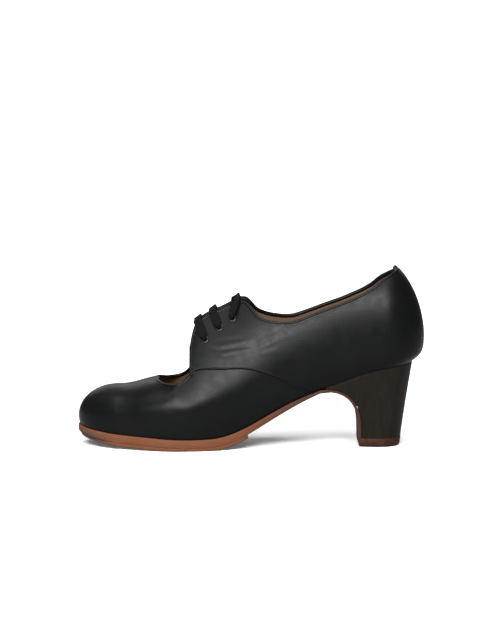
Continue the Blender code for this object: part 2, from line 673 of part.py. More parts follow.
def build_outsole(group):
    """Sole leather from the toe through the waist and down the front of the heel."""
    places = np.concatenate([[1.965, 1.9, 1.8], np.linspace(1.68, 1.0, 7), np.linspace(1.0, 0.24, 22)[1:]])
    loops = []
    for along in places:
        top = float(sole_line(along)) - FIT_GAP
        under = outsole_under(along)
        bevel = SOLE_BEVEL * sole_layer(along) / OUTSOLE
        loops.append(across(along, TOP_SHARES, -SOLE_MARGIN, top)
                     + across(along, (1,), -SOLE_MARGIN, under + bevel)
                     + across(along, UNDER_SHARES, bevel - SOLE_MARGIN, under)
                     + across(along, (-1,), -SOLE_MARGIN, under + bevel))
    rises = np.concatenate([[0.995, 0.97, 0.93, 0.87], np.linspace(0.79, 0, 8)])
    for rise in rises:
        step = 0.004
        below = breast_row(max(rise - step, 0), (0,))[0]
        above = breast_row(min(rise + step, 1), (0,))[0]
        run = above - below
        out = np.array([-run[2], 0, run[0]]) / math.hypot(run[0], run[2])
        thick = BREAST_LEATHER * (1 - BREAST_SKIVE * rise ** 4)
        face = [point + FIT_GAP * out for point in breast_row(rise, TOP_SHARES)]
        front = [point + (FIT_GAP + thick) * out for point in breast_row(rise, UNDER_SHARES)]
        side_in = front[0] - 0.3 * thick * out
        side_out = front[-1] - 0.3 * thick * out
        loops.append(face + [side_in] + front + [side_out])
    return loft("outsole", loops, "sole_leather", group)


def build_half_sole(group):
    """Thin layer under the forefoot, worn flat where the shoe stands."""
    places = np.concatenate([[1.962, 1.9, 1.8], np.linspace(1.68, 1.0, 7), np.linspace(1.0, HALF_SOLE_END, 15)[1:]])
    loops = []
    for along in places:
        top = outsole_under(along) - FIT_GAP
        under = max(top - HALF_SOLE, 0.0)
        top_inset = SOLE_BEVEL - SOLE_MARGIN + STEP_LIP
        loops.append(across(along, TOP_SHARES, top_inset, top)
                     + across(along, UNDER_SHARES, top_inset + SOLE_BEVEL / 2, under))
    return loft("half_sole", loops, "sole_leather", group)


def build_insole(group):
    places = np.concatenate([[1.96, 1.9, 1.8], np.linspace(1.68, 1.0, 7), np.linspace(1.0, 0.0, 22)[1:],
                             np.linspace(0, -0.8, 7)[1:], [-0.9, -0.96]])
    loops = []
    for along in places:
        under = float(sole_line(along))
        loops.append(across(along, TOP_SHARES, INSOLE_INSET, under + INSOLE)
                     + across(along, UNDER_SHARES, INSOLE_INSET, under))
    return loft("insole", loops, "tan_lining", group)


def main():
    clear_scene()
    shoe = collection("flamenco_shoe")
    cutters = collection("cutters")
    build_outsole(shoe)
    build_half_sole(shoe)
    build_heel(shoe)
    build_top_lift(shoe)
    build_insole(shoe)
    build_upper(shoe, cutters)
    for side in (LATERAL, MEDIAL):
        for number, spot in enumerate(EYELETS, 1):
            build_eyelet(side, number, spot, shoe)
    build_lace(shoe)
    build_knot(shoe, cutters)


main()
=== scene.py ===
import math
from collections import namedtuple

import bmesh
import bpy
import numpy as np
from mathutils import Matrix, Vector


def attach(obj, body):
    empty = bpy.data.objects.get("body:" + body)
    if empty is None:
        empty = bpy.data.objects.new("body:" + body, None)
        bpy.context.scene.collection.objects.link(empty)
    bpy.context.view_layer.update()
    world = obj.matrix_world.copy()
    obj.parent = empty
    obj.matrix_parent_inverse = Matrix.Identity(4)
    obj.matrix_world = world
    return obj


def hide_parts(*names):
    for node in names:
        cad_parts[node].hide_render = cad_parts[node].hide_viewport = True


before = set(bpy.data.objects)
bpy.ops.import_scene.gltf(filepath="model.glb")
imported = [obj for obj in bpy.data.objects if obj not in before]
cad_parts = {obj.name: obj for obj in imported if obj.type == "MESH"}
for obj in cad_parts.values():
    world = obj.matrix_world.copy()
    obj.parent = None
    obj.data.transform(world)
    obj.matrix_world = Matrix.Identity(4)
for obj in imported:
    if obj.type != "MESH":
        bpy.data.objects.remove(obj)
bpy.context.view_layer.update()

# Sizes of the last, as in the solids
LAST_LENGTH = 0.2377
BACK_X = 0.029
HEEL_WIDTH = 0.054
BALL_WIDTH = 0.079
TOE_LENGTH = 0.0277
HEEL_HEIGHT = 0.0587
TOE_SPRING = 0.0066
INSTEP_RISE = 0.092
TOE_RISE = 0.0316
TOE_SWING = 0.003
TUCK_POWER = 3.2
WIDEST_ROUND = 0.1
INNER_COLLAR_RAISE = 0.0026
COLLAR_LOW = 0.47
COLLAR_REACH = 0.14

# Walls and layers
WALL = 0.0016
OVERLAP_STEP = 0.0009
FLUSH_TURN = 0.35
FIT_GAP = 0.0003
OUTSOLE = 0.0056
HALF_SOLE = 0.0022
TREAD_FLAT = 0.0005
SOLE_MARGIN = 0.0011
SOLE_BEVEL = 0.0012
INSOLE = 0.0024
INSOLE_INSET = 0.0022
BREAST_LEATHER = 0.0021

# Heel block and top lift
TOP_LIFT = 0.006
LIFT_FRONT_X = -0.0156
LIFT_BACK_X = 0.0143
LIFT_WIDTH = 0.033
LIFT_CENTRE = 0.1
LIFT_NARROWS = 0.12
LIFT_TAPER = 0.0012
LIFT_CORNER = 0.93
LIFT_FRONT_SHARES = ((0.975, 0.875), (1.0, 0.84), (1.0, 0.5), (1.0, 0.0))
HEEL_NOSE = 0.0009
BREAST_BOTTOM_X = -0.0132
SIDE_SHARE = 0.35
BACK_CURVE = 1.1
BREAST_CURVE = 3.0
BREAST_ROUND = 0.45
HEEL_FLARE = 1.25
BREAST_SKIVE = 0.25

# Lacing
EYELET_FLANGE = 0.0056
EYELET_BORE = 0.0032
EYELET_RIM = 0.0005
RIM_FOOT = 0.25
RIM_ROUND = 1.15
LACE_WIDTH = 0.0062
LACE_THICKNESS = 0.0012
LACE_CORD = 0.002
LACE_LIFT = 0.0021
BAR_LEAN = 0.026
KNOT_LEAN = 0.016
LEVEL_HOLD = 0.4
KNOT_LENGTH = 0.0105
KNOT_HEIGHT = 0.0052
KNOT_UNIT = 0.0014
KNOT_CORD = 0.0019
KNOT_DROP = 0.0026
KNOT_FLATTEN = 0.85
KNOT_SWELL = 1.15
KNOT_STEP = 0.0007

# Finer pieces that only the scene has
LEATHER = 0.0009
LINING = 0.0006
LAP = 0.09
BINDING_WIDTH = 0.0026
BINDING_PROUD = 0.00035
BINDING_STEP = 0.0007
LINING_DROP = 0.006
UNDER_QUARTER = 0.00012
PIPING = 0.00085
STITCH_PITCH = 0.0021
STITCH_LENGTH = 0.0014
STITCH_THREAD = 0.00017
STITCH_INSET = BINDING_WIDTH + 0.0004
BACK_SEAM_LOW = 0.32
BACK_SEAM_END = 0.05
BACK_SEAM_HALF = 0.0011
BACK_SEAM_THICK = 0.0006
BACK_STITCH_PITCH = 0.0019
BACK_STITCH_HALF = 0.0013
BACK_STITCH_THREAD = 0.00022
BACK_STITCH_ARCH = 0.0004
BACK_STITCH_DIP = 0.0001
EDGE_ROUND = 0.0005
TOE_WEAR = 0.0014
LAYER_LINE = 0.0002
NAIL_HEAD = 0.0009
TOE_BEVEL = 0.35
NailRow = namedtuple("NailRow", "inset count")
TOE_NAILS = [NailRow(0.0036, 15), NailRow(0.0080, 13), NailRow(0.0128, 9)]
TOE_NAIL_REACH = 0.82
LIFT_NAIL_SHARE = 0.8
LIFT_NAIL_SUNK = 0.0003
LIFT_OUTER_NAILS = 0.78
LIFT_INNER_NAILS = 0.45

HEEL_POLE_X = BACK_X - HEEL_WIDTH / 2
TOE_POLE_X = BACK_X - LAST_LENGTH + TOE_LENGTH
BALL_HEIGHT = 2 * FIT_GAP + OUTSOLE + HALF_SOLE - TREAD_FLAT
LATERAL = -1
MEDIAL = 1
SIDES = (LATERAL, MEDIAL)

# Sections of the last, as in the solids: along runs -1 at the back of the heel, 0 beside the
# heel's turning centre, 1 beside the toe's turning centre and 2 at the tip.
Section = namedtuple("Section", "along lift spring wide rise lateral medial tuck_out tuck_in swing full")
BW = BALL_WIDTH
IR = INSTEP_RISE
TR = TOE_RISE


def rear_section(along, lift, wide, rise, lateral, medial, tuck_out, tuck_in, full, broad=BALL_WIDTH):
    """Heel, waist and instep: heights as shares of the instep's rise."""
    return Section(along, lift, 0.0, wide * IR, rise * IR, lateral * broad, medial * broad,
                   tuck_out * broad, tuck_in * broad, 0.0, full)


def front_section(along, spring, wide, rise, lateral, medial, tuck_out, tuck_in, swing, full):
    """Forefoot and toe: heights as shares of the toe's rise."""
    return Section(along, 0.0, spring, wide * TR, rise * TR, lateral * BW, medial * BW,
                   tuck_out * BW, tuck_in * BW, swing, full)


SECTIONS = [
    rear_section(-1.00, 1.00, 0.188, 0.78, 0.50, 0.50, 0.130, 0.130, 1.70, HEEL_WIDTH),
    rear_section(0.000, 0.925, 0.200, 0.78, 0.50, 0.50, 0.085, 0.085, 2.05, HEEL_WIDTH),
    rear_section(0.175, 0.730, 0.228, 0.84, 0.51, 0.49, 0.085, 0.095, 2.00, HEEL_WIDTH),
    rear_section(0.339, 0.490, 0.252, 0.86, 0.36, 0.345, 0.076, 0.100, 1.80),
    rear_section(0.432, 0.311, 0.264, 0.94, 0.38, 0.355, 0.082, 0.114, 1.55),
    rear_section(0.519, 0.140, 0.272, 1.02, 0.42, 0.38, 0.076, 0.108, 1.30),
    rear_section(0.590, 0.040, 0.270, 1.02, 0.455, 0.41, 0.063, 0.089, 1.22),
    rear_section(0.639, 0.008, 0.258, 1.02, 0.481, 0.437, 0.051, 0.070, 1.14),
    rear_section(0.727, 0.000, 0.218, 0.94, 0.513, 0.475, 0.041, 0.044, 1.06),
    front_section(0.760, 0.02, 0.585, 1.96, 0.519, 0.482, 0.038, 0.041, 0.05, 1.20),
    front_section(0.798, 0.06, 0.53, 1.32, 0.520, 0.485, 0.035, 0.038, 0.15, 2.20),
    front_section(0.873, 0.18, 0.456, 1.18, 0.494, 0.463, 0.032, 0.032, 0.5, 2.15),
    front_section(1.000, 0.38, 0.367, 0.985, 0.400, 0.384, 0.023, 0.023, 1.0, 2.00),
    front_section(1.250, 0.55, 0.310, 0.985, 0.357, 0.350, 0.019, 0.019, 1.0, 2.00),
    front_section(1.500, 0.72, 0.270, 0.985, 0.347, 0.343, 0.016, 0.016, 1.0, 2.00),
    Section(2.000, 0.000, 1.00, 0.187 * TR, 0.985 * TR,
            TOE_LENGTH, TOE_LENGTH, 0.011 * BW, 0.011 * BW, 1.0, 2.00),
]

# Edges of the collar and the seam, as the share of the way from the sole's edge to the crest.
# The cut-out's edge is its height over the ball.
Edge = namedtuple("Edge", "along height")
CUT_OUT_FRONT = 0.848
TAB_FRONT = 0.727
TAB_BACK = TAB_FRONT - 0.03
SEAM_END = 0.264
FRONT_CORNER = 0.527
CUT_OUT = [Edge(0.738, 1.325 * TR), Edge(0.752, 1.250 * TR), Edge(0.770, 1.195 * TR), Edge(0.790, 1.170 * TR),
           Edge(0.812, 1.170 * TR), Edge(0.833, 1.190 * TR), Edge(CUT_OUT_FRONT, 1.225 * TR),
           Edge(0.858, 1.260 * TR)]
TOP_EDGE = [Edge(-1.0, 0.955), Edge(-0.5, 0.925), Edge(0.0, 0.86), Edge(0.05, 0.78), Edge(0.09, 0.74),
            Edge(0.175, 0.70), Edge(0.32, 0.69), Edge(0.41, 0.725), Edge(0.47, 0.78), Edge(0.52, 0.90),
            Edge(0.545, 0.92), Edge(0.639, 0.893), Edge(0.703, 0.85), Edge(0.718, 0.805),
            Edge(TAB_FRONT, 0.74)]
SEAM = [Edge(SEAM_END, 0.0), Edge(0.31, 0.09), Edge(0.36, 0.19), Edge(0.40, 0.28), Edge(0.45, 0.36),
        Edge(0.50, 0.42), Edge(0.57, 0.48), Edge(0.65, 0.51), Edge(TAB_FRONT, FRONT_CORNER)]
EYELETS = [Edge(0.670, 0.712), Edge(0.617, 0.778), Edge(0.569, 0.818)]
Layer = namedtuple("Layer", "along share")
OUTSOLE_LAYER = [Layer(0.20, 0.34), Layer(0.27, 0.46), Layer(0.36, 0.72), Layer(0.45, 0.88),
                 Layer(0.55, 1.0), Layer(2.0, 1.0)]
HALF_SOLE_END = 0.51
BREAST_TOP = 0.22

# Creases in the leather, seen from the side: where they run, how wide and how deep
Crease = namedtuple("Crease", "side points width depth")
CREASE_DEPTH = 0.35
CREASES = [
    Crease(LATERAL, ((-0.1205, 0.0690), (-0.1105, 0.0672), (-0.1000, 0.0692), (-0.0870, 0.0712)),
           0.0017, 0.00042),
    Crease(LATERAL, ((-0.1190, 0.0650), (-0.1060, 0.0640), (-0.0940, 0.0662), (-0.0850, 0.0668)),
           0.0015, 0.00025),
    Crease(LATERAL, ((-0.0980, 0.0698), (-0.0890, 0.0700), (-0.0790, 0.0745), (-0.0655, 0.0815),
                     (-0.0580, 0.0860)), 0.0022, 0.00040),
    Crease(LATERAL, ((-0.0910, 0.0665), (-0.0750, 0.0700), (-0.0640, 0.0765)), 0.0018, 0.00022),
    Crease(LATERAL, ((-0.1130, 0.0735), (-0.1010, 0.0742), (-0.0920, 0.0760)), 0.0016, 0.00016),
    Crease(MEDIAL, ((-0.1180, 0.0680), (-0.1060, 0.0665), (-0.0950, 0.0690), (-0.0800, 0.0740)),
           0.0018, 0.00038),
    Crease(MEDIAL, ((-0.1000, 0.0635), (-0.0860, 0.0660), (-0.0700, 0.0735)), 0.0018, 0.00026),
]


def smooth_through(places, values, at):
    """Rounded curve through rows that never overshoots them, level at both ends."""
    places = np.asarray(places, float)
    values = np.asarray(values, float)
    at = np.clip(np.asarray(at, float), places[0], places[-1])
    step = np.diff(places)
    slope = np.diff(values) / step
    before = slope[:-1]
    after = slope[1:]
    turning = before * after <= 0
    safe_before = np.where(turning, 1.0, before)
    safe_after = np.where(turning, 1.0, after)
    weight_before = 2 * step[1:] + step[:-1]
    weight_after = step[1:] + 2 * step[:-1]
    mean = (weight_before + weight_after) / (weight_before / safe_before + weight_after / safe_after)
    tangent = np.zeros(len(places))
    tangent[1:-1] = np.where(turning, 0.0, mean)
    row = np.clip(np.searchsorted(places, at, side="right") - 1, 0, len(step) - 1)
    share = (at - places[row]) / step[row]
    return (values[row] * (1 + 2 * share) * (1 - share) ** 2
            + values[row + 1] * share ** 2 * (3 - 2 * share)
            + step[row] * (tangent[row] * share * (1 - share) ** 2
                           - tangent[row + 1] * share ** 2 * (1 - share)))


HEEL_TURN = math.pi / 2 * HEEL_WIDTH / 2
BODY = HEEL_POLE_X - TOE_POLE_X
POLE_ROW = [row.along for row in SECTIONS].index(1.0)
TOE_TURN = math.pi / 2 * (SECTIONS[POLE_ROW].lateral + SECTIONS[POLE_ROW].medial) / 2


def unroll(along):
    """Distance along the last, so that curves pass smoothly from its sides into its ends."""
    along = np.asarray(along, float)
    return (np.minimum(along, 0) * HEEL_TURN + np.clip(along, 0, 1) * BODY
            + np.maximum(along - 1, 0) * TOE_TURN)


SECTION_PLACES = unroll([row.along for row in SECTIONS])
SAMPLES = np.linspace(SECTION_PLACES[0], SECTION_PLACES[-1], 4096)
SOFTENING = 0.0035


def softened(name):
    """One column of the sections, sampled finely and rubbed smooth so that its reflections are."""
    values = smooth_through(SECTION_PLACES, [getattr(row, name) for row in SECTIONS], SAMPLES)
    step = SAMPLES[1] - SAMPLES[0]
    reach = int(3 * SOFTENING / step)
    kernel = np.exp(-0.5 * (np.arange(-reach, reach + 1) * step / SOFTENING) ** 2)
    return np.convolve(np.pad(values, reach, mode="reflect"), kernel / kernel.sum(), mode="valid")


COLUMNS = {name: softened(name) for name in Section._fields[1:]}


def column(name, along):
    return np.interp(unroll(along), SAMPLES, COLUMNS[name])


def edge_height(rows, along):
    return smooth_through(unroll([row[0] for row in rows]), [row[1] for row in rows], unroll(along))


def sole_line(along):
    """Height of the line where the upper meets the sole."""
    return (BALL_HEIGHT + (HEEL_HEIGHT - BALL_HEIGHT) * column("lift", along)
            + TOE_SPRING * column("spring", along))


def crest_line(along):
    beside = np.clip(along, 0, 1)
    return sole_line(beside) + column("rise", beside)


def turn_at(height, along):
    """Where on a section's curve a share of its height lies: 0 sole, 1 widest, 2 crest."""
    low = sole_line(along)
    wide = column("wide", along)
    whole = crest_line(along) - low
    above = height * whole - wide
    angle = np.arcsin(np.clip(above / (whole - wide), 0, 1))
    return np.where(above < 0, height * whole / wide, 1 + angle / (math.pi / 2))


def end_turns(along):
    """Angles that a place has gone round the heel and round the toe."""
    return np.clip(-along, 0, 1) * math.pi / 2, np.clip(along - 1, 0, 1) * math.pi / 2


def last_point(along, side, turn):
    """Point of the last's outside at turn 0 on the sole line, 1 at the widest, 2 on the crest."""
    along, turn = np.broadcast_arrays(np.asarray(along, float), np.asarray(turn, float))
    low = sole_line(along)
    wide = low + column("wide", along)
    crest = crest_line(along)
    reach = column("lateral" if side == LATERAL else "medial", along)
    tuck = column("tuck_out" if side == LATERAL else "tuck_in", along)
    full = column("full", along)
    under = np.maximum(1 - turn, 0)
    over = np.sin(np.clip(turn - 1, 0, 1) * math.pi / 2)
    rounding = WIDEST_ROUND * np.maximum(2 - full, 0) + 1e-9
    eased = over * over * (1 + rounding) / (over + rounding)
    out = np.where(turn < 1, reach - tuck * under ** TUCK_POWER,
                   reach * np.maximum(1 - eased ** full, 0) ** (1 / full))
    up = np.where(turn < 1, wide - (wide - low) * under, wide + (crest - wide) * over)
    heel_turn, toe_turn = end_turns(along)
    x = HEEL_POLE_X - BODY * np.clip(along, 0, 1) + out * (np.sin(heel_turn) - np.sin(toe_turn))
    y = TOE_SWING * column("swing", along) + side * out * np.cos(heel_turn + toe_turn)
    return np.stack([x, y, up], axis=-1)


def last_normal(along, side, turn):
    small = 1e-3
    along, turn = np.broadcast_arrays(np.asarray(along, float), np.asarray(turn, float))
    near = np.clip(turn, 0, 2 - 4 * small)
    ahead = last_point(along + small, side, near) - last_point(along - small, side, near)
    upward = last_point(along, side, near + small) - last_point(along, side, near - small)
    normal = side * np.cross(ahead, upward)
    level = np.zeros_like(normal)
    slope = (crest_line(along + small) - crest_line(along - small)) / (2 * small * BODY)
    level[..., 0] = slope
    level[..., 2] = 1
    normal = np.where((turn > 2 - 1e-6)[..., None], level, normal)
    ends = (np.abs(along - 0.5) > 1.5 - 1e-6)[..., None]
    normal = np.where(ends, normal * np.array([1.0, 0.0, 1.0]), normal)
    return normal / np.linalg.norm(normal, axis=-1, keepdims=True)


def crease_lift(place, side):
    """How far creases push the leather in, with a soft ridge on either side of each."""
    lift = np.zeros(place.shape[:-1])
    for crease in CREASES:
        if crease.side != side:
            continue
        stops = np.array(crease.points)
        lengths = np.linalg.norm(np.diff(stops, axis=0), axis=1)
        passed = np.concatenate([[0], np.cumsum(lengths)])
        nearest = np.full(lift.shape, 1.0)
        share = np.zeros(lift.shape)
        for i, length in enumerate(lengths):
            run = (stops[i + 1] - stops[i]) / length
            away = place[..., (0, 2)] - stops[i]
            went = np.clip(away @ run, 0, length)
            gap = np.linalg.norm(away - went[..., None] * run, axis=-1)
            closer = gap < nearest
            share = np.where(closer, (passed[i] + went) / passed[-1], share)
            nearest = np.where(closer, gap, nearest)
        spread = (nearest / crease.width) ** 2
        fade = np.sin(math.pi * np.clip(share, 0, 1)) ** 0.7
        lift += CREASE_DEPTH * crease.depth * fade * (spread - 1) * np.exp(-spread / 2)
    return lift


def skin(along, side, turn, offset, creased=False):
    place = last_point(along, side, turn)
    if creased:
        offset = offset + crease_lift(place, side)
        return place + offset[..., None] * last_normal(along, side, turn)
    return place + np.asarray(offset)[..., None] * last_normal(along, side, turn)


# Meshes are gathered as grids of points. "place" keeps where a point lies on its piece.
class Body:
    def __init__(self):
        self.points = []
        self.faces = []
        self.places = []
        self.count = 0

    def add_grid(self, points, places=None):
        points = np.asarray(points, float)
        rows, columns = points.shape[:2]
        number = self.count + np.arange(rows * columns).reshape(rows, columns)
        quads = np.stack([number[:-1, :-1], number[:-1, 1:], number[1:, 1:], number[1:, :-1]], axis=-1)
        self.points.append(points.reshape(-1, 3))
        self.faces += quads.reshape(-1, 4).tolist()
        self.places.append(np.zeros((rows * columns, 3)) if places is None else np.reshape(places, (-1, 3)))
        self.count += rows * columns

    def add_fill(self, points):
        self.faces.append(list(range(self.count, self.count + len(points))))
        self.points.append(np.asarray(points, float))
        self.places.append(np.zeros((len(points), 3)))
        self.count += len(points)


def add_object(name, data):
    made = bpy.data.objects.new(name, data)
    bpy.context.scene.collection.objects.link(made)
    return made


def finish_piece(name, body, finish, replaced=(), sharp_angle=40):
    """Weld a body into a mesh, give it its finish and let it ride on the shoe."""
    data = bpy.data.meshes.new(name)
    data.from_pydata(np.concatenate(body.points).tolist(), [], body.faces)
    place = data.attributes.new("place", "FLOAT_VECTOR", "POINT")
    place.data.foreach_set("vector", np.concatenate(body.places).ravel())
    mesh = bmesh.new()
    mesh.from_mesh(data)
    bmesh.ops.remove_doubles(mesh, verts=mesh.verts, dist=2e-6)
    bmesh.ops.dissolve_degenerate(mesh, edges=mesh.edges, dist=1e-7)
    bmesh.ops.recalc_face_normals(mesh, faces=mesh.faces)
    mesh.to_mesh(data)
    mesh.free()
    data.shade_smooth()
    data.set_sharp_from_angle(angle=math.radians(sharp_angle))
    piece = add_object(name, data)
    data.materials.append(finish)
    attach(piece, "root")
    if replaced:
        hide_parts(*replaced)
    return piece


def add_rings(body, rings, places=None, capped=True):
    """Closed rings of points one after another."""
    rings = np.asarray(rings, float)
    around = np.concatenate([rings, rings[:, :1]], axis=1)
    if places is not None:
        places = np.concatenate([places, places[:, :1]], axis=1)
    body.add_grid(around, places)
    if capped:
        body.add_fill(rings[0])
        body.add_fill(rings[-1])


def unit(vectors):
    return vectors / np.linalg.norm(vectors, axis=-1, keepdims=True)


def tangents(points):
    return unit(np.gradient(points, axis=0))


def oval(count, power=2.0):
    """Points round an oval of half-size 1; a power over 2 gives it flatter sides."""
    angles = np.linspace(0, 2 * math.pi, count, endpoint=False)
    first = np.sign(np.cos(angles)) * np.abs(np.cos(angles)) ** (2 / power)
    second = np.sign(np.sin(angles)) * np.abs(np.sin(angles)) ** (2 / power)
    return first, second


def add_sweep(body, points, outward, half_out, half_up, power=2.0, count=16):
    """Tube along points. outward is the leather's normal; the other axis lies in the leather."""
    run = tangents(points)
    up = unit(np.cross(outward, run))
    first, second = oval(count, power)
    half_out = np.broadcast_to(half_out, len(points))[:, None, None]
    half_up = np.broadcast_to(half_up, len(points))[:, None, None]
    rings = (points[:, None] + half_out * first[None, :, None] * outward[:, None]
             + half_up * second[None, :, None] * up[:, None])
    add_rings(body, rings)


def side_name(side):
    return "lateral" if side == LATERAL else "medial"


# Lines of the upper
def cut_out_edge(along):
    """The cut-out's edge as a share of the way from the sole's edge to the crest."""
    low = sole_line(TAB_FRONT)
    corner = low + FRONT_CORNER * (crest_line(TAB_FRONT) - low) - BALL_HEIGHT
    height = BALL_HEIGHT + edge_height([Edge(TAB_FRONT, corner)] + CUT_OUT, along)
    return (height - sole_line(along)) / (crest_line(along) - sole_line(along))


def vamp_top(along, lap=0.0):
    """Top of the vamp: crest, cut-out edge, then the seam, which the quarter laps over."""
    eased = np.clip((TAB_FRONT - along) / (TAB_FRONT - TAB_BACK), 0, 1)
    behind = np.where(along < TAB_FRONT, edge_height(SEAM, along) + lap * eased * eased * (3 - 2 * eased),
                      cut_out_edge(along))
    return np.where(along >= CUT_OUT_FRONT, 2.0, turn_at(np.minimum(behind, 1.0), along))


def vamp_rows(along, shares, top):
    """Turns of the vamp's rows, which run on evenly in front of the cut-out."""
    corner = float(turn_at(cut_out_edge(CUT_OUT_FRONT), CUT_OUT_FRONT))
    ahead = np.clip((1 - along) / (1 - CUT_OUT_FRONT), 0, 1)
    rows = shares[:, None] * np.where(along >= CUT_OUT_FRONT, 2 - (2 - corner) * ahead ** 2, top)
    rows[-1] = top
    return rows


def quarter_foot(along):
    return np.where(along > SEAM_END, turn_at(edge_height(SEAM, along), along), 0.0)


def quarter_top(along, side):
    """Lacing edge and collar. The collar dips a little less on the inner side of the foot."""
    raised = INNER_COLLAR_RAISE / INSTEP_RISE * np.exp(-((along - COLLAR_LOW) / COLLAR_REACH) ** 2)
    return turn_at(edge_height(TOP_EDGE, along) + (raised if side == MEDIAL else 0), along)


def flush(turn):
    """The quarter stands proud of the vamp, and lies level with it at the sole."""
    share = np.clip(turn / FLUSH_TURN, 0, 1)
    return share * share * (3 - 2 * share)


def eased_out(start, end, count):
    """Places from start to end that lie closest at the start."""
    return start + (end - start) * (1 - np.cos(np.linspace(0, math.pi / 2, count)))


TOE_PLACES = np.linspace(2.0, 1.0, 41)
FRONT_PLACES = np.linspace(1.0, CUT_OUT_FRONT, 20)[1:]
OVAL_PLACES = eased_out(CUT_OUT_FRONT, TAB_FRONT, 36)[1:]
LAP_PLACES = np.concatenate([eased_out(TAB_FRONT, TAB_BACK, 16)[1:], np.linspace(TAB_BACK, SEAM_END, 68)[1:]])
WAIST_PLACES = np.linspace(SEAM_END, 0, 41)[1:]
HEEL_PLACES = np.linspace(0, -1, 41)[1:]
QUARTER_PLACES = np.concatenate([[TAB_FRONT], LAP_PLACES, WAIST_PLACES, HEEL_PLACES])
FIRST_ROW = (0, slice(None))
LAST_ROW = (-1, slice(None))
FIRST_COLUMN = (slice(None), 0)
LAST_COLUMN = (slice(None), -1)


def add_wall(body, outer, inner, edges):
    """Both faces of a piece of leather, and the edges that close it."""
    body.add_grid(outer)
    body.add_grid(inner)
    for edge in edges:
        body.add_grid(np.stack([outer[edge], inner[edge]]))


def build_vamp(finish):
    """Front of the upper, from the toe to its lap under the quarters."""
    places = np.concatenate([TOE_PLACES, FRONT_PLACES, OVAL_PLACES, LAP_PLACES])
    cut_from = len(TOE_PLACES) + len(FRONT_PLACES) - 1
    body = Body()
    for side in SIDES:
        turn = vamp_rows(places, np.linspace(0, 1, 61), vamp_top(places, LAP))
        under_quarter = np.clip((turn - quarter_foot(places)) / 0.05, 0, 1) * (places < TAB_FRONT)
        outer = skin(places, side, turn, -UNDER_QUARTER * under_quarter, True)
        inner = skin(places, side, turn, -LEATHER, True)
        add_wall(body, outer, inner, (FIRST_ROW, (-1, slice(cut_from, None)), LAST_COLUMN))
    return finish_piece("vamp_leather", body, finish, ("upper",))


def build_quarter(finish):
    """Both quarters, joined at the back, with their tabs and collar."""
    places = QUARTER_PLACES
    body = Body()
    for side in SIDES:
        foot = quarter_foot(places)
        turn = foot + np.linspace(0, 1, 57)[:, None] * (quarter_top(places, side) - foot)
        outer = skin(places, side, turn, OVERLAP_STEP * flush(turn), True)
        inner = skin(places, side, turn, OVERLAP_STEP * flush(turn) - LEATHER, True)
        add_wall(body, outer, inner, (FIRST_ROW, LAST_ROW, FIRST_COLUMN))
    return finish_piece("quarter_leather", body, finish)


def build_lining(name, places, tops, finish, open_end):
    """Tan lining behind the leather, up to just under the bound edges."""
    body = Body()
    for side in SIDES:
        turn = np.linspace(0, 1, 41)[:, None] * tops[side]
        outer = skin(places, side, turn, LINING - WALL)
        inner = skin(places, side, turn, -WALL)
        open_top = (-1, tops[side] < 2 - 1e-6)
        add_wall(body, outer, inner, (FIRST_ROW, open_top, open_end))
    return finish_piece(name, body, finish)


def build_linings(finish):
    front = np.concatenate([TOE_PLACES, FRONT_PLACES, OVAL_PLACES, LAP_PLACES[:20]])
    front_top = vamp_top(front)
    lower = front_top - LINING_DROP * (front < CUT_OUT_FRONT - 0.01)
    front_top = np.where(front_top < 2 - 1e-6, lower, front_top)
    build_lining("vamp_lining", front, {LATERAL: front_top, MEDIAL: front_top}, finish, LAST_COLUMN)
    rear_top = {side: quarter_top(QUARTER_PLACES, side) - LINING_DROP for side in SIDES}
    build_lining("quarter_lining", QUARTER_PLACES, rear_top, finish, FIRST_COLUMN)


# Edges as runs of (along, turn) on each side
Run = namedtuple("Run", "along side turn")


def cut_out_run():
    """Round the cut-out, from the inner tab to the outer one."""
    half = np.concatenate([np.linspace(TAB_FRONT - 0.02, TAB_FRONT, 9),
                           eased_out(CUT_OUT_FRONT, TAB_FRONT, 70)[-2::-1]])
    half = half[vamp_top(half) < 2 - 1e-3]
    along = np.concatenate([half, half[::-1]])
    side = np.concatenate([np.full(len(half), MEDIAL), np.full(len(half), LATERAL)])
    return Run(along, side, vamp_top(along))


def quarter_run():
    """Up the outer tab, back along the lacing edge and collar, and down the inner tab."""
    corner = eased_out(TAB_FRONT, TAB_BACK, 28)
    edge = np.concatenate([corner, np.linspace(TAB_BACK, 0, 170)[1:], np.linspace(0, -1, 50)[1:]])
    runs = []
    for side in SIDES:
        rise = np.linspace(0, 1, 28)[:-1]
        foot = quarter_foot(np.array([TAB_FRONT]))[0] - 0.01
        front = foot + rise * (quarter_top(np.array([TAB_FRONT]), side)[0] - foot)
        along = np.concatenate([np.full(len(front), TAB_FRONT), edge])
        turn = np.concatenate([front, quarter_top(edge, side)])
        runs.append((along, turn))
    along = np.concatenate([runs[0][0], runs[1][0][-2::-1]])
    turn = np.concatenate([runs[0][1], runs[1][1][-2::-1]])
    side = np.concatenate([np.full(len(runs[0][0]), LATERAL), np.full(len(runs[1][0]) - 1, MEDIAL)])
    return Run(along, side, turn)


def on_run(run, offset):
    """Points and normals of a run at an offset from the last."""
    points = np.zeros((len(run.along), 3))
    normals = np.zeros((len(run.along), 3))
    offset = np.broadcast_to(offset, len(run.along))
    for side in SIDES:
        there = run.side == side
        points[there] = skin(run.along[there], side, run.turn[there], offset[there], True)
        normals[there] = last_normal(run.along[there], side, run.turn[there])
    return points, normals


def passed_along(points):
    return np.concatenate([[0], np.cumsum(np.linalg.norm(np.diff(points, axis=0), axis=1))])


def at_distance(values, passed, at):
    return np.stack([np.interp(at, passed, values[:, i]) for i in range(3)], axis=1)


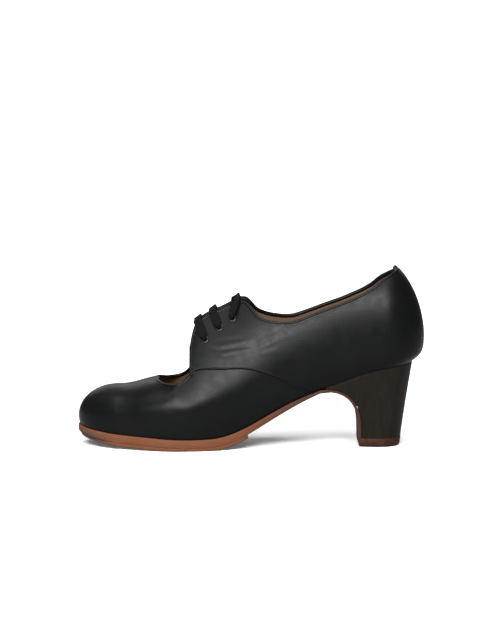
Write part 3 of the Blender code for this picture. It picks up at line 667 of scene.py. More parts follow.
def spaced(points, normals, pitch):
    """The same run with its points a pitch apart."""
    passed = passed_along(points)
    at = np.linspace(0, passed[-1], max(int(round(passed[-1] / pitch)), 2) + 1)
    return at_distance(points, passed, at), unit(at_distance(normals, passed, at))


def inset_run(run, distance):
    """A run moved into the leather by a distance along its surface."""
    points, normals = on_run(run, 0.0)
    inward = -unit(np.cross(normals, tangents(points)))
    along = run.along.copy()
    turn = run.turn.copy()
    small = 1e-4
    for side in SIDES:
        there = run.side == side
        a = run.along[there]
        t = np.minimum(run.turn[there], 2 - 2 * small)
        by_along = (last_point(a + small, side, t) - last_point(a - small, side, t)) / (2 * small)
        by_turn = (last_point(a, side, t + small) - last_point(a, side, t - small)) / (2 * small)
        wanted = inward[there] * distance
        aa = np.sum(by_along * by_along, axis=1)
        at = np.sum(by_along * by_turn, axis=1)
        tt = np.sum(by_turn * by_turn, axis=1)
        ra = np.sum(by_along * wanted, axis=1)
        rt = np.sum(by_turn * wanted, axis=1)
        det = aa * tt - at * at
        along[there] = a + (ra * tt - rt * at) / det
        turn[there] = run.turn[there] + (rt * aa - ra * at) / det
    return Run(np.maximum(along, -1), run.side, turn)


def build_binding(name, run, middle, half_wall, finish):
    """Folded strip over an edge of the leather."""
    points, normals = spaced(*on_run(run, middle), BINDING_STEP)
    up = unit(np.cross(normals, tangents(points)))
    points = points - up * (BINDING_WIDTH / 2 - BINDING_PROUD)
    body = Body()
    add_sweep(body, points, normals, half_wall + BINDING_PROUD, BINDING_WIDTH / 2, power=2.6)
    return finish_piece(name, body, finish)


def seam_run(side):
    along = np.linspace(TAB_FRONT, SEAM_END, 150)
    return Run(along, np.full(len(along), side), quarter_foot(along))


def build_piping(finish):
    """Raised cord in the seam between quarter and vamp."""
    body = Body()
    for side in SIDES:
        run = seam_run(side)
        points, normals = spaced(*on_run(run, OVERLAP_STEP * 0.45), 0.0008)
        fade = np.clip(np.linspace(len(points) - 1, 0, len(points)) / 12, 0.35, 1)
        add_sweep(body, points, normals, PIPING * fade, PIPING * fade, count=12)
    return finish_piece("seam_piping", body, finish)


def add_stitches(body, points, normals):
    """Short threads that dip into the leather at both ends."""
    passed = passed_along(points)
    middles = np.arange(STITCH_PITCH, passed[-1] - STITCH_PITCH / 2, STITCH_PITCH)
    steps = np.linspace(-0.5, 0.5, 6) * STITCH_LENGTH
    dip = np.array([-0.9, 0.25, 0.6, 0.6, 0.25, -0.9]) * STITCH_THREAD
    for middle in middles:
        line = at_distance(points, passed, middle + steps)
        out = unit(at_distance(normals, passed, middle + steps))
        add_sweep(body, line + out * dip[:, None], out, STITCH_THREAD, STITCH_THREAD, count=6)


def build_stitches(finish):
    """Rows of stitches just inside the bound edges."""
    body = Body()
    for edge, ends, offset in ((quarter_run(), 8, OVERLAP_STEP), (cut_out_run(), 14, 0.0)):
        row = inset_run(edge, STITCH_INSET)
        row = Run(*(values[ends:-ends] for values in row))
        add_stitches(body, *on_run(row, offset))
    return finish_piece("stitches", body, finish)


def build_back_seam(leather, thread):
    """Seam up the back, closed by stitches across it."""
    turn = np.linspace(BACK_SEAM_LOW, quarter_top(np.array([-1.0]), LATERAL)[0] - BACK_SEAM_END, 120)
    run = Run(np.full(len(turn), -1.0), np.full(len(turn), LATERAL), turn)
    points, normals = spaced(*on_run(run, OVERLAP_STEP), 0.0008)
    ridge = Body()
    sunk = points - normals * BACK_SEAM_THICK / 2
    add_sweep(ridge, sunk, normals, BACK_SEAM_THICK, BACK_SEAM_HALF, power=2.3, count=12)
    finish_piece("back_seam", ridge, leather)
    body = Body()
    middles, outs = spaced(points, normals, BACK_STITCH_PITCH)
    steps = np.linspace(-1, 1, 7)[:, None]
    arch = BACK_STITCH_ARCH * (1 - steps ** 2) - BACK_STITCH_DIP
    for middle, out in zip(middles[1:-1], outs[1:-1]):
        line = middle + steps * np.array([0, BACK_STITCH_HALF, 0]) + out * arch
        outward = np.repeat(out[None], len(line), axis=0)
        add_sweep(body, line, outward, BACK_STITCH_THREAD, BACK_STITCH_THREAD, count=6)
    finish_piece("back_stitches", body, thread)


# Sole, heel and insole
def across(along, side_shares, inset, height):
    """Points across the last at one place, from the outer side to the inner one."""
    ends = []
    heel_turn, toe_turn = end_turns(along)
    for side in SIDES:
        edge = last_point(along, side, 0.0)
        edge[0] -= inset * (math.sin(heel_turn) - math.sin(toe_turn))
        edge[1] -= side * inset * math.cos(heel_turn + toe_turn)
        edge[2] = height
        ends.append(edge)
    middle = (ends[0] + ends[1]) / 2
    half = (ends[1] - ends[0]) / 2
    return [middle + share * half for share in side_shares]


SHARES = np.linspace(-1, 1, 9)


def sole_places(toe_end, back, count, toe_count=44):
    """Places along a layer of the sole, closest together at the tip of the toe."""
    toe = 1 + toe_end * np.sin(np.linspace(math.pi / 2, 0, toe_count))
    return np.concatenate([toe, np.linspace(1.0, back, count)[1:]])


def sole_ring(along, top, under, margin, round_top, bevel):
    """Ring round a layer of the sole, its top edge rounded and its lower one bevelled."""
    edge = [(margin + round_top * 0.3, top - round_top * 0.3), (margin, top - round_top),
            (margin, under + bevel), (margin + bevel * 0.12, under + bevel * 0.55),
            (margin + bevel * 0.42, under + bevel * 0.18)]
    edge = [(inset, max(height, under)) for inset, height in edge]
    ring = across(along, SHARES, margin + round_top, top)
    ring += [across(along, (1,), inset, height)[0] for inset, height in edge]
    ring += across(along, SHARES[::-1], margin + bevel, under)
    ring += [across(along, (-1,), inset, height)[0] for inset, height in edge[::-1]]
    return ring


def ring_places(along, ring, top, under):
    heights = np.array([point[2] for point in ring])
    share = (heights - under) / max(top - under, 1e-5)
    return np.stack([np.full(len(ring), float(unroll(along))), share, np.zeros(len(ring))], axis=1)


def toe_wear(along):
    """Share of the wear at the toe, where the sole's lower edge is rubbed away."""
    share = np.clip((along - 0.95) / 0.6, 0, 1)
    return float(share * share * (3 - 2 * share))


def sole_layer(along):
    return OUTSOLE * float(edge_height(OUTSOLE_LAYER, along))


def outsole_under(along):
    return float(sole_line(along)) - FIT_GAP - sole_layer(along)


def tread_under(along):
    """Underside of the half sole, rubbed flat on the floor."""
    return max(outsole_under(along) - FIT_GAP - HALF_SOLE, 0.0)


def heel_path(front, rise):
    """How far a side of the heel has gone from its foot to its top at a share of its height."""
    plain = rise ** BACK_CURVE
    breast = 1 - (1 - rise ** BREAST_CURVE) ** BREAST_ROUND
    return plain + (breast - plain) * front ** 2


def heel_foot(front, side):
    """Foot of the heel: straight front, sides that widen a little, round back."""
    centre = HEEL_POLE_X - LIFT_CENTRE * LIFT_WIDTH
    half = LIFT_WIDTH / 2 - FIT_GAP
    back = LIFT_BACK_X - centre
    if front <= 0:
        angle = (1 + front) * math.pi / 2
        return centre + back * math.cos(angle), side * half * math.sin(angle)
    return centre + front * (BREAST_BOTTOM_X - centre), side * half * (1 - LIFT_NARROWS * front ** 2)


def heel_side_point(place, side, rise):
    """Point on the heel's wall. place is -1 at the back and 1 at the front corner."""
    along = place * BREAST_TOP if place > 0 else place
    foot_x, foot_y = heel_foot(place, side)
    top = last_point(along, side, 0.0)
    low = TOP_LIFT + FIT_GAP
    high = top[2] - FIT_GAP - HEEL_NOSE
    front = SIDE_SHARE * (1 + place) if place < 0 else SIDE_SHARE + (1 - SIDE_SHARE) * place
    went = heel_path(front, rise)
    return np.array([foot_x + (top[0] - foot_x) * went, foot_y + (top[1] - foot_y) * rise ** HEEL_FLARE,
                     low + (high - low) * rise])


def breast_row(rise, shares):
    """Points across the front of the heel, between its two front corners."""
    outer = heel_side_point(1.0, LATERAL, rise)
    inner = heel_side_point(1.0, MEDIAL, rise)
    return [(outer + inner) / 2 + share * (inner - outer) / 2 for share in shares]


def build_heel(finish):
    rises = 1 - (1 - np.linspace(0, 1, 60)) ** 1.6
    places = np.concatenate([np.linspace(1, 0, 26), np.linspace(0, -1, 31)[1:]])
    rings = []
    for rise in rises:
        ring = [heel_side_point(place, LATERAL, rise) for place in places]
        ring += [heel_side_point(place, MEDIAL, rise) for place in places[-2::-1]]
        ring += breast_row(rise, np.linspace(1, -1, 12)[1:-1])
        rings.append(ring)
    rings.append([point + np.array([0, 0, HEEL_NOSE]) for point in rings[-1]])
    body = Body()
    add_rings(body, rings)
    return finish_piece("heel_block", body, finish, ("heel",), sharp_angle=50)


def lift_outline(count=28):
    centre = HEEL_POLE_X - LIFT_CENTRE * LIFT_WIDTH
    half = LIFT_WIDTH / 2
    outline = [((LIFT_BACK_X - centre) * math.cos(angle), half * math.sin(angle))
               for angle in np.linspace(0, math.pi / 2, count)]
    front = LIFT_FRONT_X - centre
    outline += [(front * share, half * (1 - LIFT_NARROWS * share ** 2))
                for share in np.linspace(0, LIFT_CORNER, 12)[1:]]
    outline += [(front * forward, half * beside) for forward, beside in LIFT_FRONT_SHARES]
    return centre, half, outline + [(x, -y) for x, y in outline[-2:0:-1]]


def build_top_lift(finish):
    centre, half, outline = lift_outline()
    heights = ((0.0, 1.25), (0.0002, 1.0), (0.0009, 0.66), (TOP_LIFT / 3, 0.33), (TOP_LIFT - EDGE_ROUND, 0.0),
               (TOP_LIFT, 0.12))
    rings = []
    for height, drawn in heights:
        shrink = 1 - drawn * LIFT_TAPER / half
        rings.append([(centre + x * shrink, y * shrink, height) for x, y in outline])
    body = Body()
    add_rings(body, rings)
    return finish_piece("heel_lift", body, finish, ("top_lift",))


def build_outsole(finish):
    """Sole leather from the toe through the waist and down the front of the heel."""
    places = sole_places(0.965, 0.24, 110)
    rings = []
    coords = []
    for along in places:
        top = float(sole_line(along)) - FIT_GAP
        under = outsole_under(along)
        thick = sole_layer(along) / OUTSOLE
        bevel = SOLE_BEVEL * thick
        if along > HALF_SOLE_END:
            bevel = LAYER_LINE + (OUTSOLE * TOE_BEVEL - LAYER_LINE) * toe_wear(along)
        ring = sole_ring(along, top, under, -SOLE_MARGIN, EDGE_ROUND * thick, bevel)
        rings.append(ring)
        coords.append(ring_places(along, ring, top, under))
    for rise in 1 - np.concatenate([np.linspace(0.005, 0.2, 16), np.linspace(0.22, 1, 36)]):
        step = 0.004
        run = breast_row(min(rise + step, 1), (0,))[0] - breast_row(max(rise - step, 0), (0,))[0]
        out = np.array([-run[2], 0, run[0]]) / math.hypot(run[0], run[2])
        thick = BREAST_LEATHER * (1 - BREAST_SKIVE * rise ** 4)
        face = [point + FIT_GAP * out for point in breast_row(rise, SHARES)]
        front = [point + (FIT_GAP + thick) * out for point in breast_row(rise, SHARES[::-1])]
        rounds = (0.1, 0.2, 0.5, 0.75, 0.93)
        inner_side = [face[-1] + share * thick * out for share in rounds]
        outer_side = [face[0] + share * thick * out for share in rounds[::-1]]
        ring = face + inner_side + front + outer_side
        rings.append(ring)
        down_breast = float(unroll(BREAST_TOP)) - (1 - rise) * HEEL_HEIGHT
        coords.append(np.tile([down_breast, 0.5, 0.0], (len(ring), 1)))
    body = Body()
    add_rings(body, rings, np.array(coords))
    return finish_piece("sole_leather", body, finish, ("outsole",), sharp_angle=60)


def build_half_sole(finish):
    """Thin layer under the forefoot, rubbed flat where the shoe stands and worn at the toe."""
    places = sole_places(0.962, HALF_SOLE_END, 80)
    rings = []
    coords = []
    for along in places:
        top = outsole_under(along) - LAYER_LINE / 4
        under = tread_under(along)
        inset = LAYER_LINE / 2 - SOLE_MARGIN + OUTSOLE * 0.3 * toe_wear(along)
        bevel = SOLE_BEVEL / 2 + TOE_WEAR * toe_wear(along)
        ring = sole_ring(along, top, under, inset, EDGE_ROUND / 3, bevel)
        rings.append(ring)
        coords.append(ring_places(along, ring, top, under))
    body = Body()
    add_rings(body, rings, np.array(coords))
    return finish_piece("half_sole_leather", body, finish, ("half_sole",), sharp_angle=60)


def build_insole(finish):
    heel_end = -0.96 * np.sin(np.linspace(0, math.pi / 2, 24))
    places = np.concatenate([sole_places(0.96, 0.0, 80, 30), heel_end[1:]])
    rings = []
    for along in places:
        under = float(sole_line(along))
        ring = across(along, SHARES, INSOLE_INSET + EDGE_ROUND, under + INSOLE)
        ring += across(along, (1,), INSOLE_INSET, under + INSOLE - EDGE_ROUND)
        ring += across(along, SHARES[::-1], INSOLE_INSET, under)
        ring += across(along, (-1,), INSOLE_INSET, under + INSOLE - EDGE_ROUND)
        rings.append(ring)
    body = Body()
    add_rings(body, rings)
    return finish_piece("footbed", body, finish, ("insole",))


def add_nail(body, place, radius):
    """Domed nail head that looks down."""
    down = Vector((0, 0, -1))
    frame_at = Matrix.Translation(Vector(place)) @ down.to_track_quat("Z", "X").to_matrix().to_4x4()
    profile = ((1.0, -0.3), (1.0, 0.12), (0.85, 0.26), (0.45, 0.36), (0.05, 0.38))
    angles = np.linspace(0, 2 * math.pi, 14, endpoint=False)
    rings = [[tuple(frame_at @ Vector((radius * r * math.cos(a), radius * r * math.sin(a), radius * z)))
              for a in angles] for r, z in profile]
    add_rings(body, rings)


def build_nails(finish):
    """Nail heads round the toe's underside and under the heel."""
    body = Body()
    for row in TOE_NAILS:
        for share in np.linspace(-1, 1, row.count):
            along = 2 - abs(share) * TOE_NAIL_REACH
            side = LATERAL if share < 0 else MEDIAL
            add_nail(body, across(along, (side,), row.inset, tread_under(along))[0], NAIL_HEAD)
    centre, half, outline = lift_outline(9)
    for ring, shrink in ((outline, LIFT_OUTER_NAILS), (outline[::2], LIFT_INNER_NAILS)):
        for x, y in ring:
            place = (centre + x * shrink, y * shrink, LIFT_NAIL_SUNK)
            add_nail(body, place, NAIL_HEAD * LIFT_NAIL_SHARE)
    return finish_piece("nail_heads", body, finish)


# Lacing
def eyelet_frame(side, spot):
    """Matrix at an eyelet: its Z axis stands out of the quarter's outside."""
    turn = turn_at(spot.height, spot.along)
    place = Vector(skin(spot.along, side, turn, np.array(OVERLAP_STEP)))
    normal = Vector(last_normal(spot.along, side, turn))
    return Matrix.Translation(place) @ normal.to_track_quat("Z", "X").to_matrix().to_4x4()


def build_eyelet(side, number, spot, finish):
    """Rolled ring with a barrel through the quarter."""
    bore = EYELET_BORE / 2
    flange = EYELET_FLANGE / 2
    middle = (bore + flange) / 2
    half = (flange - bore) / 2
    back = -(WALL + OVERLAP_STEP)
    angles = np.linspace(0, math.pi, 13)
    profile = [(bore, back), (bore, 0.0)]
    profile += [(middle - half * math.cos(a), EYELET_RIM * (RIM_FOOT + RIM_ROUND * math.sin(a)))
                for a in angles]
    profile += [(flange, 0.0), (flange - half, back * 0.4), (bore + half * 0.4, back)]
    turns = np.linspace(0, 2 * math.pi, 48, endpoint=False)
    frame_at = eyelet_frame(side, spot)
    loops = [[tuple(frame_at @ Vector((r * math.cos(a), r * math.sin(a), z))) for r, z in profile]
             for a in turns]
    body = Body()
    points = np.array(loops + loops[:1])
    body.add_grid(np.concatenate([points, points[:, :1]], axis=1))
    name = side_name(side) + "_" + str(number)
    return finish_piece("eyelet_ring_" + name, body, finish, ("eyelet_" + name,))


def through_points(stops, count):
    """Smooth run of points through the stops, count of them to each stretch."""
    stops = np.array(stops, float)
    step = np.linalg.norm(np.diff(stops[:, :3], axis=0), axis=1)[:, None]
    slope = np.diff(stops, axis=0) / step
    tangent = np.concatenate([slope[:1], slope])
    tangent[1:-1] = (slope[:-1] * step[1:] + slope[1:] * step[:-1]) / (step[1:] + step[:-1])
    points = []
    for i in range(len(step)):
        for share in np.arange(count) / count:
            points.append(stops[i] * (1 + 2 * share) * (1 - share) ** 2
                          + stops[i + 1] * share ** 2 * (3 - 2 * share)
                          + step[i] * (tangent[i] * share * (1 - share) ** 2
                                       - tangent[i + 1] * share ** 2 * (1 - share)))
    return np.array(points + [stops[-1]])


def lacing_direction():
    """Unit vector up the lacing edge, seen from the side."""
    ends = [last_point(spot.along, LATERAL, turn_at(spot.height, spot.along)) for spot in EYELETS]
    rise = Vector(ends[-1] - ends[0])
    rise.y = 0
    return rise.normalized()


def hole_stops(side, spot, outwards):
    """A lace's way through an eyelet, gathered to a round cord in its bore."""
    frame_at = eyelet_frame(side, spot)
    cord = LACE_CORD / 2
    inside = -(WALL + OVERLAP_STEP) - 2 * FIT_GAP - cord
    heights = [inside, inside / 2, EYELET_RIM + 2 * FIT_GAP]
    stops = [(*(frame_at @ Vector((0, 0, height))), cord, cord) for height in heights]
    return stops if outwards else stops[::-1]


Lay = namedtuple("Lay", "share lift width")
LAYS = [Lay(0.12, 1.3, 0.8), Lay(0.4, 1.1, 1.0), Lay(0.75, 0.85, 1.0)]


def surface_stops(side, spot, edge_along):
    """From an eyelet over the quarter to its lacing edge, then level over that edge."""
    half_width = LACE_WIDTH / 2
    half = LACE_THICKNESS / 2
    start = float(turn_at(spot.height, spot.along))
    end = float(quarter_top(edge_along, side))
    stops = []
    for lay in LAYS:
        along = spot.along + (edge_along - spot.along) * lay.share
        offset = np.array(OVERLAP_STEP + LACE_LIFT * lay.lift)
        place = skin(along, side, start + (end - start) * lay.share, offset)
        stops.append((*place, half_width * lay.width, half))
    rim = skin(edge_along, side, end, np.array(OVERLAP_STEP + 0.75 * LACE_LIFT))
    rim[2] += LACE_LIFT / 4
    stops.append((*rim, half_width, half))
    inward = rim - np.array([0, side * 1.5 * LACE_LIFT, -LACE_LIFT / 8])
    stops.append((*inward, half_width, half))
    return stops


def knot_centre():
    third = EYELETS[-1]
    rims = [np.array(surface_stops(side, third, third.along - KNOT_LEAN)[-1][:3])
            for side in SIDES]
    return (rims[0] + rims[1]) / 2 + np.array([KNOT_LENGTH / 5, 0, -KNOT_HEIGHT / 5])


def end_stops(side):
    """From inside a top eyelet out and up to the knot."""
    third = EYELETS[-1]
    stops = hole_stops(side, third, True) + surface_stops(side, third, third.along - KNOT_LEAN)
    stops.append((*knot_centre(), LACE_WIDTH / 3, LACE_THICKNESS / 2))
    return stops


def lace_stops():
    first, second, third = EYELETS
    ways = []
    for spot in (second, first):
        outer = surface_stops(LATERAL, spot, spot.along + BAR_LEAN)
        inner = surface_stops(MEDIAL, spot, spot.along + BAR_LEAN)[::-1]
        middle = (np.array(outer[-1]) + np.array(inner[0])) / 2
        middle[2] -= LACE_LIFT / 2
        ways.append(outer + [tuple(middle)] + inner)
    stops = end_stops(LATERAL)[::-1] + hole_stops(LATERAL, second, True) + ways[0]
    stops += hole_stops(MEDIAL, second, False) + hole_stops(MEDIAL, first, True) + ways[1][::-1]
    stops += hole_stops(LATERAL, first, False) + end_stops(MEDIAL)
    return stops


def build_lace(finish):
    """One flat woven lace through all six eyelets, from the knot and back to it."""
    run = through_points(lace_stops(), 9)
    level = lacing_direction()
    wide = level
    first, second = oval(20, 3.2)
    rings = []
    coords = []
    passed = 0.0
    for i, row in enumerate(run):
        tangent = Vector(run[min(i + 1, len(run) - 1)][:3] - run[max(i - 1, 0)][:3]).normalized()
        wide = (wide - tangent * wide.dot(tangent)).normalized()
        wanted = level - tangent * level.dot(tangent)
        if wanted.length > LEVEL_HOLD:
            wanted = wanted if wanted.dot(wide) > 0 else -wanted
            wide = (wide + wanted.normalized()).normalized()
        thin = tangent.cross(wide)
        if i:
            passed += float(np.linalg.norm(row[:3] - run[i - 1][:3]))
        middle = Vector(row[:3])
        rings.append([tuple(middle + wide * row[3] * a + thin * row[4] * b) for a, b in zip(first, second)])
        coords.append(np.stack([np.full(len(first), passed), first * LACE_WIDTH / 2, second], axis=1))
    body = Body()
    add_rings(body, rings, np.array(coords))
    lace = finish_piece("lace_band", body, finish, ("lace", "lace_knot"))
    return lace, [tuple(row[:3]) for row in run], passed


def build_knot(finish):
    """Overhand knot on top of the lacing."""
    turns = np.linspace(0, 2 * math.pi, 121)[:-1]
    x = np.sin(turns) + 2 * np.sin(2 * turns)
    y = np.cos(turns) - 2 * np.cos(2 * turns)
    z = -KNOT_SWELL * np.sin(3 * turns)
    points = np.stack([x, y, z], axis=1) * KNOT_UNIT + knot_centre() + np.array([KNOT_DROP, 0, -KNOT_DROP])
    closed = np.concatenate([points, points[:2]])
    run = unit(np.gradient(closed, axis=0))
    run[0] = run[-2]
    run[-1] = run[1]
    up = np.array([0.0, 0.0, 1.0])
    thin = unit(up - run * (run @ up)[:, None])
    wide = unit(np.cross(run, thin))
    first, second = oval(14, 2.2)
    rings = (closed[:, None] + KNOT_CORD * first[None, :, None] * wide[:, None]
             + KNOT_CORD * KNOT_FLATTEN * second[None, :, None] * thin[:, None])[:-1]
    passed = np.arange(len(rings)) * KNOT_STEP
    coords = np.zeros(rings.shape)
    coords[..., 0] = passed[:, None]
    coords[..., 1] = first[None] * KNOT_CORD
    body = Body()
    add_rings(body, rings, coords, capped=False)
    return finish_piece("lace_knot_tied", body, finish)


# Materials
class Shader:
    """Small helper round one material's nodes."""
    def __init__(self, name):
        self.made = bpy.data.materials.new(name)
        self.made.use_nodes = True
        self.tree = self.made.node_tree
        self.main = self.tree.nodes["Principled BSDF"]

    def link(self, output, socket):
        self.tree.links.new(output, socket)

    def set(self, socket, value):
        self.main.inputs[socket].default_value = value

    def coords(self, scale=(1, 1, 1), attribute=None):
        if attribute:
            source = self.tree.nodes.new("ShaderNodeAttribute")
            source.attribute_name = attribute
            output = source.outputs["Vector"]
        else:
            output = self.tree.nodes.new("ShaderNodeTexCoord").outputs["Object"]
        mapping = self.tree.nodes.new("ShaderNodeMapping")
        mapping.inputs["Scale"].default_value = scale
        self.link(output, mapping.inputs["Vector"])
        return mapping.outputs["Vector"]

    def noise(self, scale, detail=3.0, rough=0.5, vector=None):
        node = self.tree.nodes.new("ShaderNodeTexNoise")
        node.inputs["Scale"].default_value = scale
        node.inputs["Detail"].default_value = detail
        node.inputs["Roughness"].default_value = rough
        self.link(vector or self.coords(), node.inputs["Vector"])
        return node.outputs["Fac"]

    def cells(self, scale, vector=None):
        node = self.tree.nodes.new("ShaderNodeTexVoronoi")
        node.feature = "SMOOTH_F1"
        node.inputs["Scale"].default_value = scale
        node.inputs["Smoothness"].default_value = 0.6
        self.link(vector or self.coords(), node.inputs["Vector"])
        return node.outputs["Distance"]

    def ramp(self, value, low, high, from_value=0.0, to_value=1.0):
        node = self.tree.nodes.new("ShaderNodeMapRange")
        node.inputs["From Min"].default_value = low
        node.inputs["From Max"].default_value = high
        node.inputs["To Min"].default_value = from_value
        node.inputs["To Max"].default_value = to_value
        self.link(value, node.inputs["Value"])
        return node.outputs["Result"]

    def math(self, operation, first, second):
        node = self.tree.nodes.new("ShaderNodeMath")
        node.operation = operation
        for socket, value in zip(node.inputs, (first, second)):
            if isinstance(value, (int, float)):
                socket.default_value = value
            else:
                self.link(value, socket)
        return node.outputs["Value"]

    def axis(self, vector, name):
        node = self.tree.nodes.new("ShaderNodeSeparateXYZ")
        self.link(vector, node.inputs["Vector"])
        return node.outputs[name]

    def mix(self, factor, first, second):
        node = self.tree.nodes.new("ShaderNodeMix")
        node.data_type = "RGBA"
        self.link(factor, node.inputs["Factor"])
        for socket, value in ((node.inputs[6], first), (node.inputs[7], second)):
            if isinstance(value, tuple):
                socket.default_value = (*value, 1.0)
            else:
                self.link(value, socket)
        return node.outputs[2]

    def bump(self, height, distance, strength=1.0):
        """Bumps are chained: each new one adds to those before it."""
        node = self.tree.nodes.new("ShaderNodeBump")
        node.inputs["Distance"].default_value = distance
        node.inputs["Strength"].default_value = strength
        self.link(height, node.inputs["Height"])
        normal = self.main.inputs["Normal"]
        if normal.is_linked:
            self.link(normal.links[0].from_socket, node.inputs["Normal"])
        self.link(node.outputs["Normal"], normal)

    def surface(self, roughness, specular):
        self.set("Roughness", roughness)
        self.set("Specular IOR Level", specular)

    def colour(self, output):
        self.link(output, self.main.inputs["Base Color"])


def leather_finish(name, dark, light, roughness, bump=1.0):
    shader = Shader(name)
    patches = shader.noise(28, 4)
    shader.colour(shader.mix(shader.ramp(patches, 0.35, 0.7), dark, light))
    shader.link(shader.ramp(shader.noise(160, 5, 0.6), 0.3, 0.7, roughness - 0.05, roughness + 0.07),
                shader.main.inputs["Roughness"])
    shader.set("Specular IOR Level", 0.10)
    shader.bump(shader.noise(38, 2), 0.0005 * bump, 0.5)
    shader.bump(shader.cells(1500), 0.00005 * bump, 0.6)
    shader.bump(shader.noise(2600, 3), 0.00003 * bump, 0.6)
    return shader.made


def lining_finish():
    shader = Shader("tan_lining_leather")
    patches = shader.noise(40, 4)
    tan = shader.mix(shader.ramp(patches, 0.3, 0.7), (0.105, 0.056, 0.029), (0.165, 0.096, 0.053))
    shader.colour(tan)
    shader.set("Roughness", 0.72)
    shader.bump(shader.cells(1300), 0.00008, 0.6)
    return shader.made


def sole_finish():
    """Layered sole leather: streaks along its edge, darker at the waist, scuffed at the toe."""
    shader = Shader("sole_edge_leather")
    place = shader.coords(attribute="place")
    run = shader.axis(place, "X")
    level = shader.axis(place, "Y")
    streaks = shader.noise(1, 4, 0.65, shader.coords((90, 9, 1), "place"))
    shade = shader.mix(shader.ramp(streaks, 0.3, 0.72), (0.104, 0.035, 0.015), (0.142, 0.051, 0.0225))
    spots = shader.noise(240, 5, 0.7)
    shade = shader.mix(shader.ramp(spots, 0.56, 0.72, 0.0, 0.55), shade, (0.050, 0.021, 0.012))
    waist = shader.ramp(run, 0.105, 0.055)
    shade = shader.mix(waist, shade, (0.046, 0.019, 0.012))
    worn = shader.math("MULTIPLY", shader.ramp(run, 0.183, 0.205), shader.ramp(level, 0.9, 0.3))
    worn = shader.math("MULTIPLY", worn, shader.ramp(shader.noise(330, 5, 0.7), 0.33, 0.5))
    shade = shader.mix(worn, shade, (0.050, 0.045, 0.039))
    grime = shader.math("MULTIPLY", shader.ramp(level, 0.16, 0.0),
                        shader.ramp(shader.noise(420, 4), 0.4, 0.6))
    shade = shader.mix(shader.math("MULTIPLY", grime, 0.7), shade, (0.05, 0.03, 0.022))
    shader.colour(shade)
    shader.surface(0.6, 0.15)
    shader.bump(streaks, 0.0002, 0.5)
    shader.bump(shader.noise(900, 4), 0.00012, 0.6)
    return shader.made


def wood_finish():
    shader = Shader("dark_stained_wood")
    grain = shader.noise(1, 6, 0.65, shader.coords((330, 330, 22)))
    fine = shader.noise(1, 3, 0.6, shader.coords((1500, 1500, 60)))
    shade = shader.mix(shader.ramp(grain, 0.3, 0.7), (0.0060, 0.0046, 0.0034), (0.0122, 0.0092, 0.0067))
    shade = shader.mix(shader.ramp(fine, 0.55, 0.75, 0.0, 0.5), shade, (0.006, 0.0045, 0.0036))
    shader.colour(shade)
    shader.surface(0.5, 0.09)
    shader.bump(fine, 0.00006, 0.5)
    return shader.made


def lift_finish():
    shader = Shader("red_brown_lift")
    patches = shader.noise(300, 4)
    level = shader.axis(shader.coords(), "Z")
    shade = shader.mix(shader.ramp(patches, 0.35, 0.65), (0.026, 0.0085, 0.0042), (0.048, 0.017, 0.0088))
    rubbed = shader.math("MULTIPLY", shader.ramp(level, 0.0022, 0.0),
                         shader.ramp(shader.noise(520, 3), 0.42, 0.55))
    shade = shader.mix(rubbed, shade, (0.02, 0.014, 0.012))
    shader.colour(shade)
    shader.surface(0.6, 0.15)
    shader.bump(patches, 0.0002, 0.5)
    return shader.made


def enamel_finish():
    shader = Shader("black_enamelled_metal")
    shader.set("Base Color", (0.008, 0.008, 0.009, 1))
    shader.surface(0.24, 0.35)
    return shader.made


def nail_finish():
    shader = Shader("worn_steel")
    shade = shader.mix(shader.ramp(shader.noise(900, 3), 0.35, 0.65), (0.09, 0.08, 0.072), (0.32, 0.30, 0.28))
    shader.colour(shade)
    shader.set("Metallic", 0.9)
    shader.set("Roughness", 0.42)
    return shader.made


WEAVE_RADIANS = 7800.0


def cotton_finish():
    """Woven cotton: two crossing sets of threads, raised in turn, with painted shade in the hollows between
    them and a painted highlight on the raised threads.
    """
    shader = Shader("black_woven_cotton")
    shade = 0.0032
    place = shader.coords(attribute="place")
    run = shader.axis(place, "X")
    wide = shader.axis(place, "Y")
    threads = []
    for crossing in ("ADD", "SUBTRACT"):
        turns = shader.math("MULTIPLY", shader.math(crossing, run, wide), WEAVE_RADIANS)
        threads.append(shader.math("SINE", turns, 0.0))
    weave_relief_and_painted_shade = shader.math("ADD", *threads)
    # Colour follows the weave's height: painted shade in the hollows, painted highlight on the raised
    # threads.
    shader.colour(shader.mix(shader.ramp(weave_relief_and_painted_shade, -1.6, 1.6), (shade * 0.6,) * 3, (shade * 1.5,) * 3))
    shader.surface(0.85, 0.1)
    shader.bump(weave_relief_and_painted_shade, 0.00014, 0.7)
    return shader.made


def thread_finish(name, shade):
    shader = Shader(name)
    shader.set("Base Color", (*shade, 1))
    shader.surface(0.7, 0.15)
    return shader.made


# Camera, light and floor
CAMERA_ELEVATION = math.radians(5.5)
CAMERA_ROLL = math.radians(0.1)
CAMERA_DISTANCE = 1.6
METRES_PER_PIXEL = 0.69e-3
IMAGE_WIDTH = 495
IMAGE_CENTRE = (247.5, 317.0)
ORIGIN_COLUMN = 380.5
FLOOR_ROW = 444.7
FLOOR_COLUMN = 190
FLOOR_SLOPE = 0.0074
FLOOR_HALF = 4.0
MIRRORED_WORLD = 0.09


